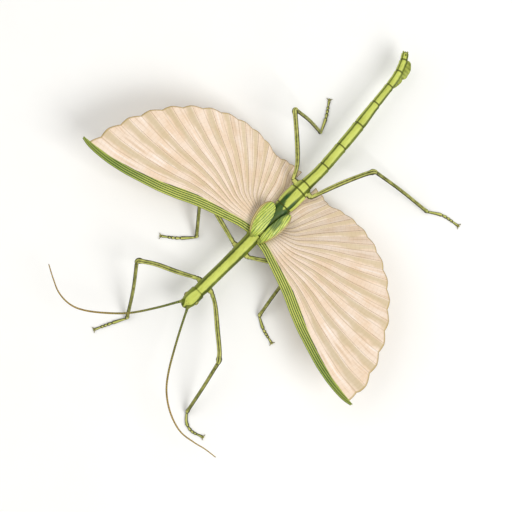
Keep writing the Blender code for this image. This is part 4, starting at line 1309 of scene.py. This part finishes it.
def model_tegmen(side, finish):
    """A short forewing: a thick domed leaf with long dark veins and a tan outer rim."""
    middle, way, wing = float(midline(8.0)), SIDES[side], FOREWINGS[side]
    root = np.array((middle + way * wing["root"], FOREWING_ROOT))
    tip = np.array((middle + way * wing["tip"], wing["end"]))
    span = np.linalg.norm(tip - root)
    along = (tip - root) / span
    outward = np.array((along[1], -along[0])) * way
    fullness = curve((
        (0.0, 0.36), (0.14, 0.72), (0.42, 1.0), (0.7, 0.97), (0.88, 0.72), (0.96, 0.44), (1.0, 0.1),
    ))
    crown = curve(((0.0, 22.2), (0.12, 23.3), (0.25, 23.7), (0.5, 23.7), (0.8, 23.1), (1.0, 22.4)))
    leaf, across, share = grid(f"forewing_{side}", 90, 120)
    across = across * 2.0 - 1.0                             # one at the outer edge
    wide = fullness(share) * wing["half_width"]
    bend = 0.9 * np.sin(math.pi * share) * way
    plan = root[:, None] + along[:, None] * span * share + outward[:, None] * wide * across
    plan[0] += bend * 0.5
    slant = across * wide + 0.26 * span * (share - 0.5) + 0.2 * np.sin(share * 17.0 + across * 4.0)
    rule = slant / FOREWING_PITCH
    fore = fade(across, 0.66, 0.74)                         # the veined field inside the rim
    vein, rung = vein_relief(rule, share * span / FOREWING_CROSS, 0.2, 0.05)
    vein = vein * fore
    rung = rung * (1.0 - vein) * fore
    keel = hump(across - 0.12, 0.16) * fade(share, 0.25, 0.8)
    rim = hump(across - 0.76, 0.03) + hump(across - 0.96, 0.03)
    lift = -0.2 * across ** 2 * wide - 0.13 * vein + 0.04 * rung + 0.35 * keel + 0.1 * rim
    # Painted shade over the inner half of the forewing from its middle back, leaving most of the tip,
    # strong on the left one and faint on the right.
    shade = wing["shade"] * fade(across, -0.2, 0.3) * step(share, 0.33, 0.5)
    shade *= 1.0 - step(share, 0.66, 0.82) * step(across, -0.8, -0.3)
    shape_sheet(
        leaf, plan, crown(share) + lift - 0.25,
        ridge=np.maximum(vein, 0.3 * rung), rim=across, share=share, shade=shade)
    stiffen(leaf, side, FOREWING_THICKNESS)
    put(leaf, finish, "forewing_leather", f"tegmen_{side}")


def model_hinges(side, finish):
    """The small hard plates that carry a wing at the body's side, and the forewing's stalk."""
    way = SIDES[side]
    plates = (                  # place, inset into the body, height, radii
        (-2.6, 0.35, 19.6, (1.2, 1.6, 0.55)), (0.2, 0.3, 19.8, (1.4, 1.2, 0.6)),
        (2.9, 0.35, 19.6, (1.2, 1.5, 0.5)), (6.0, 0.45, 19.3, (1.0, 1.7, 0.45)),
        (-2.2, float(half_width(-2.2)) - FOREWINGS[side]["root"], 21.3, (1.5, 1.9, 1.3)),
    )
    hinge = join("wing_hinge_" + side, *(
        ball("hinge_plate", (hinge_x(side, place, inset), place, height), radii, 28, way * 0.5)
        for place, inset, height, radii in plates))
    keep(hinge, ring=0.0, edge=0.1, turn=20.0)
    put(hinge, finish, "wing_band")


# ---------------------------------------------------------------- stage
def set_stage():
    """A pale floor, soft studio light and a camera that looks straight down."""
    floor = started("studio_floor", bpy.ops.mesh.primitive_plane_add, size=4.0)
    floor.data.materials.append(matte_board("matte painted board"))

    across, up = Vector((0.7526, 0.6586, 0.0)), Vector((-0.6586, 0.7526, 0.0))    # in the view
    view_middle = ORIGIN + Vector((9.24, -10.5, 0.0)) * MM
    view_width, object_height = 307.2 * MM, 20.0 * MM
    camera_data = bpy.data.cameras.new("camera")
    camera_data.lens, camera_data.sensor_width = 200.0, 36.0
    camera_data.clip_end = 20.0
    camera = bpy.data.objects.new("camera", camera_data)
    bpy.context.scene.collection.objects.link(camera)
    distance = view_width * camera_data.lens / camera_data.sensor_width
    camera.location = view_middle + UP * (object_height + distance)
    camera.rotation_euler = (0.0, 0.0, math.atan2(across.y, across.x))
    bpy.context.scene.camera = camera

    lights = (                  # name, how far right and up in the view, height, size, power
        ("key", 0.85, -0.6, 1.25, 0.9, 16.0), ("fill", -0.9, 0.3, 1.2, 1.4, 6.5),
        ("top", 0.1, 0.8, 1.5, 1.4, 4.0),
    )
    for name, right, ahead, height, size, power in lights:
        bpy.ops.object.select_all(action="DESELECT")
        spot = across * right + up * ahead + UP * height
        aim = (-spot).to_track_quat("-Z", "Y").to_euler()
        bpy.ops.object.light_add(type="AREA", location=spot, rotation=aim)
        light = bpy.context.object
        light.name = "studio_" + name
        light.data.size, light.data.energy = size, power
    world = bpy.data.worlds.new("studio")
    bpy.context.scene.world = world
    world.use_nodes = True
    world.node_tree.nodes["Background"].inputs["Color"].default_value = linear("ffffff")
    world.node_tree.nodes["Background"].inputs["Strength"].default_value = 0.42
    bpy.context.scene.view_settings.view_transform = "Standard"


def main():
    # Their colours: the painted light band, the painted shade of the flanks, the line between them, the
    # underside, the joints, and flecks on the band.
    body = painted_light_cuticle(
        "waxy body cuticle", "c9d263", "75811f", "4a560e", "98a64a", "454b0c", "b9c152", 0.35)
    leg = painted_light_cuticle(
        "waxy leg cuticle", "cbcb70", "434314", "242207", "6a6e30", "2c2d0a", "aeb45a", 0.3)
    feeler = beaded_cuticle("dull antennal cuticle")
    eye = faceted_eye("compound eye cornea")
    lens = horn("amber eye lens", "a8913f", "7c6526")
    claw = horn("brown claw chitin", "8e8840", "5e5824")
    vein = horn("brown vein chitin", "b89c78", "a08460")
    band = leathery_band("leathery wing cuticle")
    membrane = pleated_membrane("dry wing membrane")
    forewing = ridged_leather("thick forewing leather")

    set_stage()
    model_body(body)
    model_operculum(body)
    model_cerci(body)
    model_eyes(eye, body)
    model_ocelli(lens)
    model_mouthparts(leg)
    for side in SIDES:
        model_antenna(side, feeler, body)
        model_fan(side, membrane, vein)
        model_front_band(side, band)
        model_tegmen(side, forewing)
        model_hinges(side, body)
    for name in LEGS:
        foot = model_leg(name, leg)
        model_claws(name, foot, claw, leg)


main()
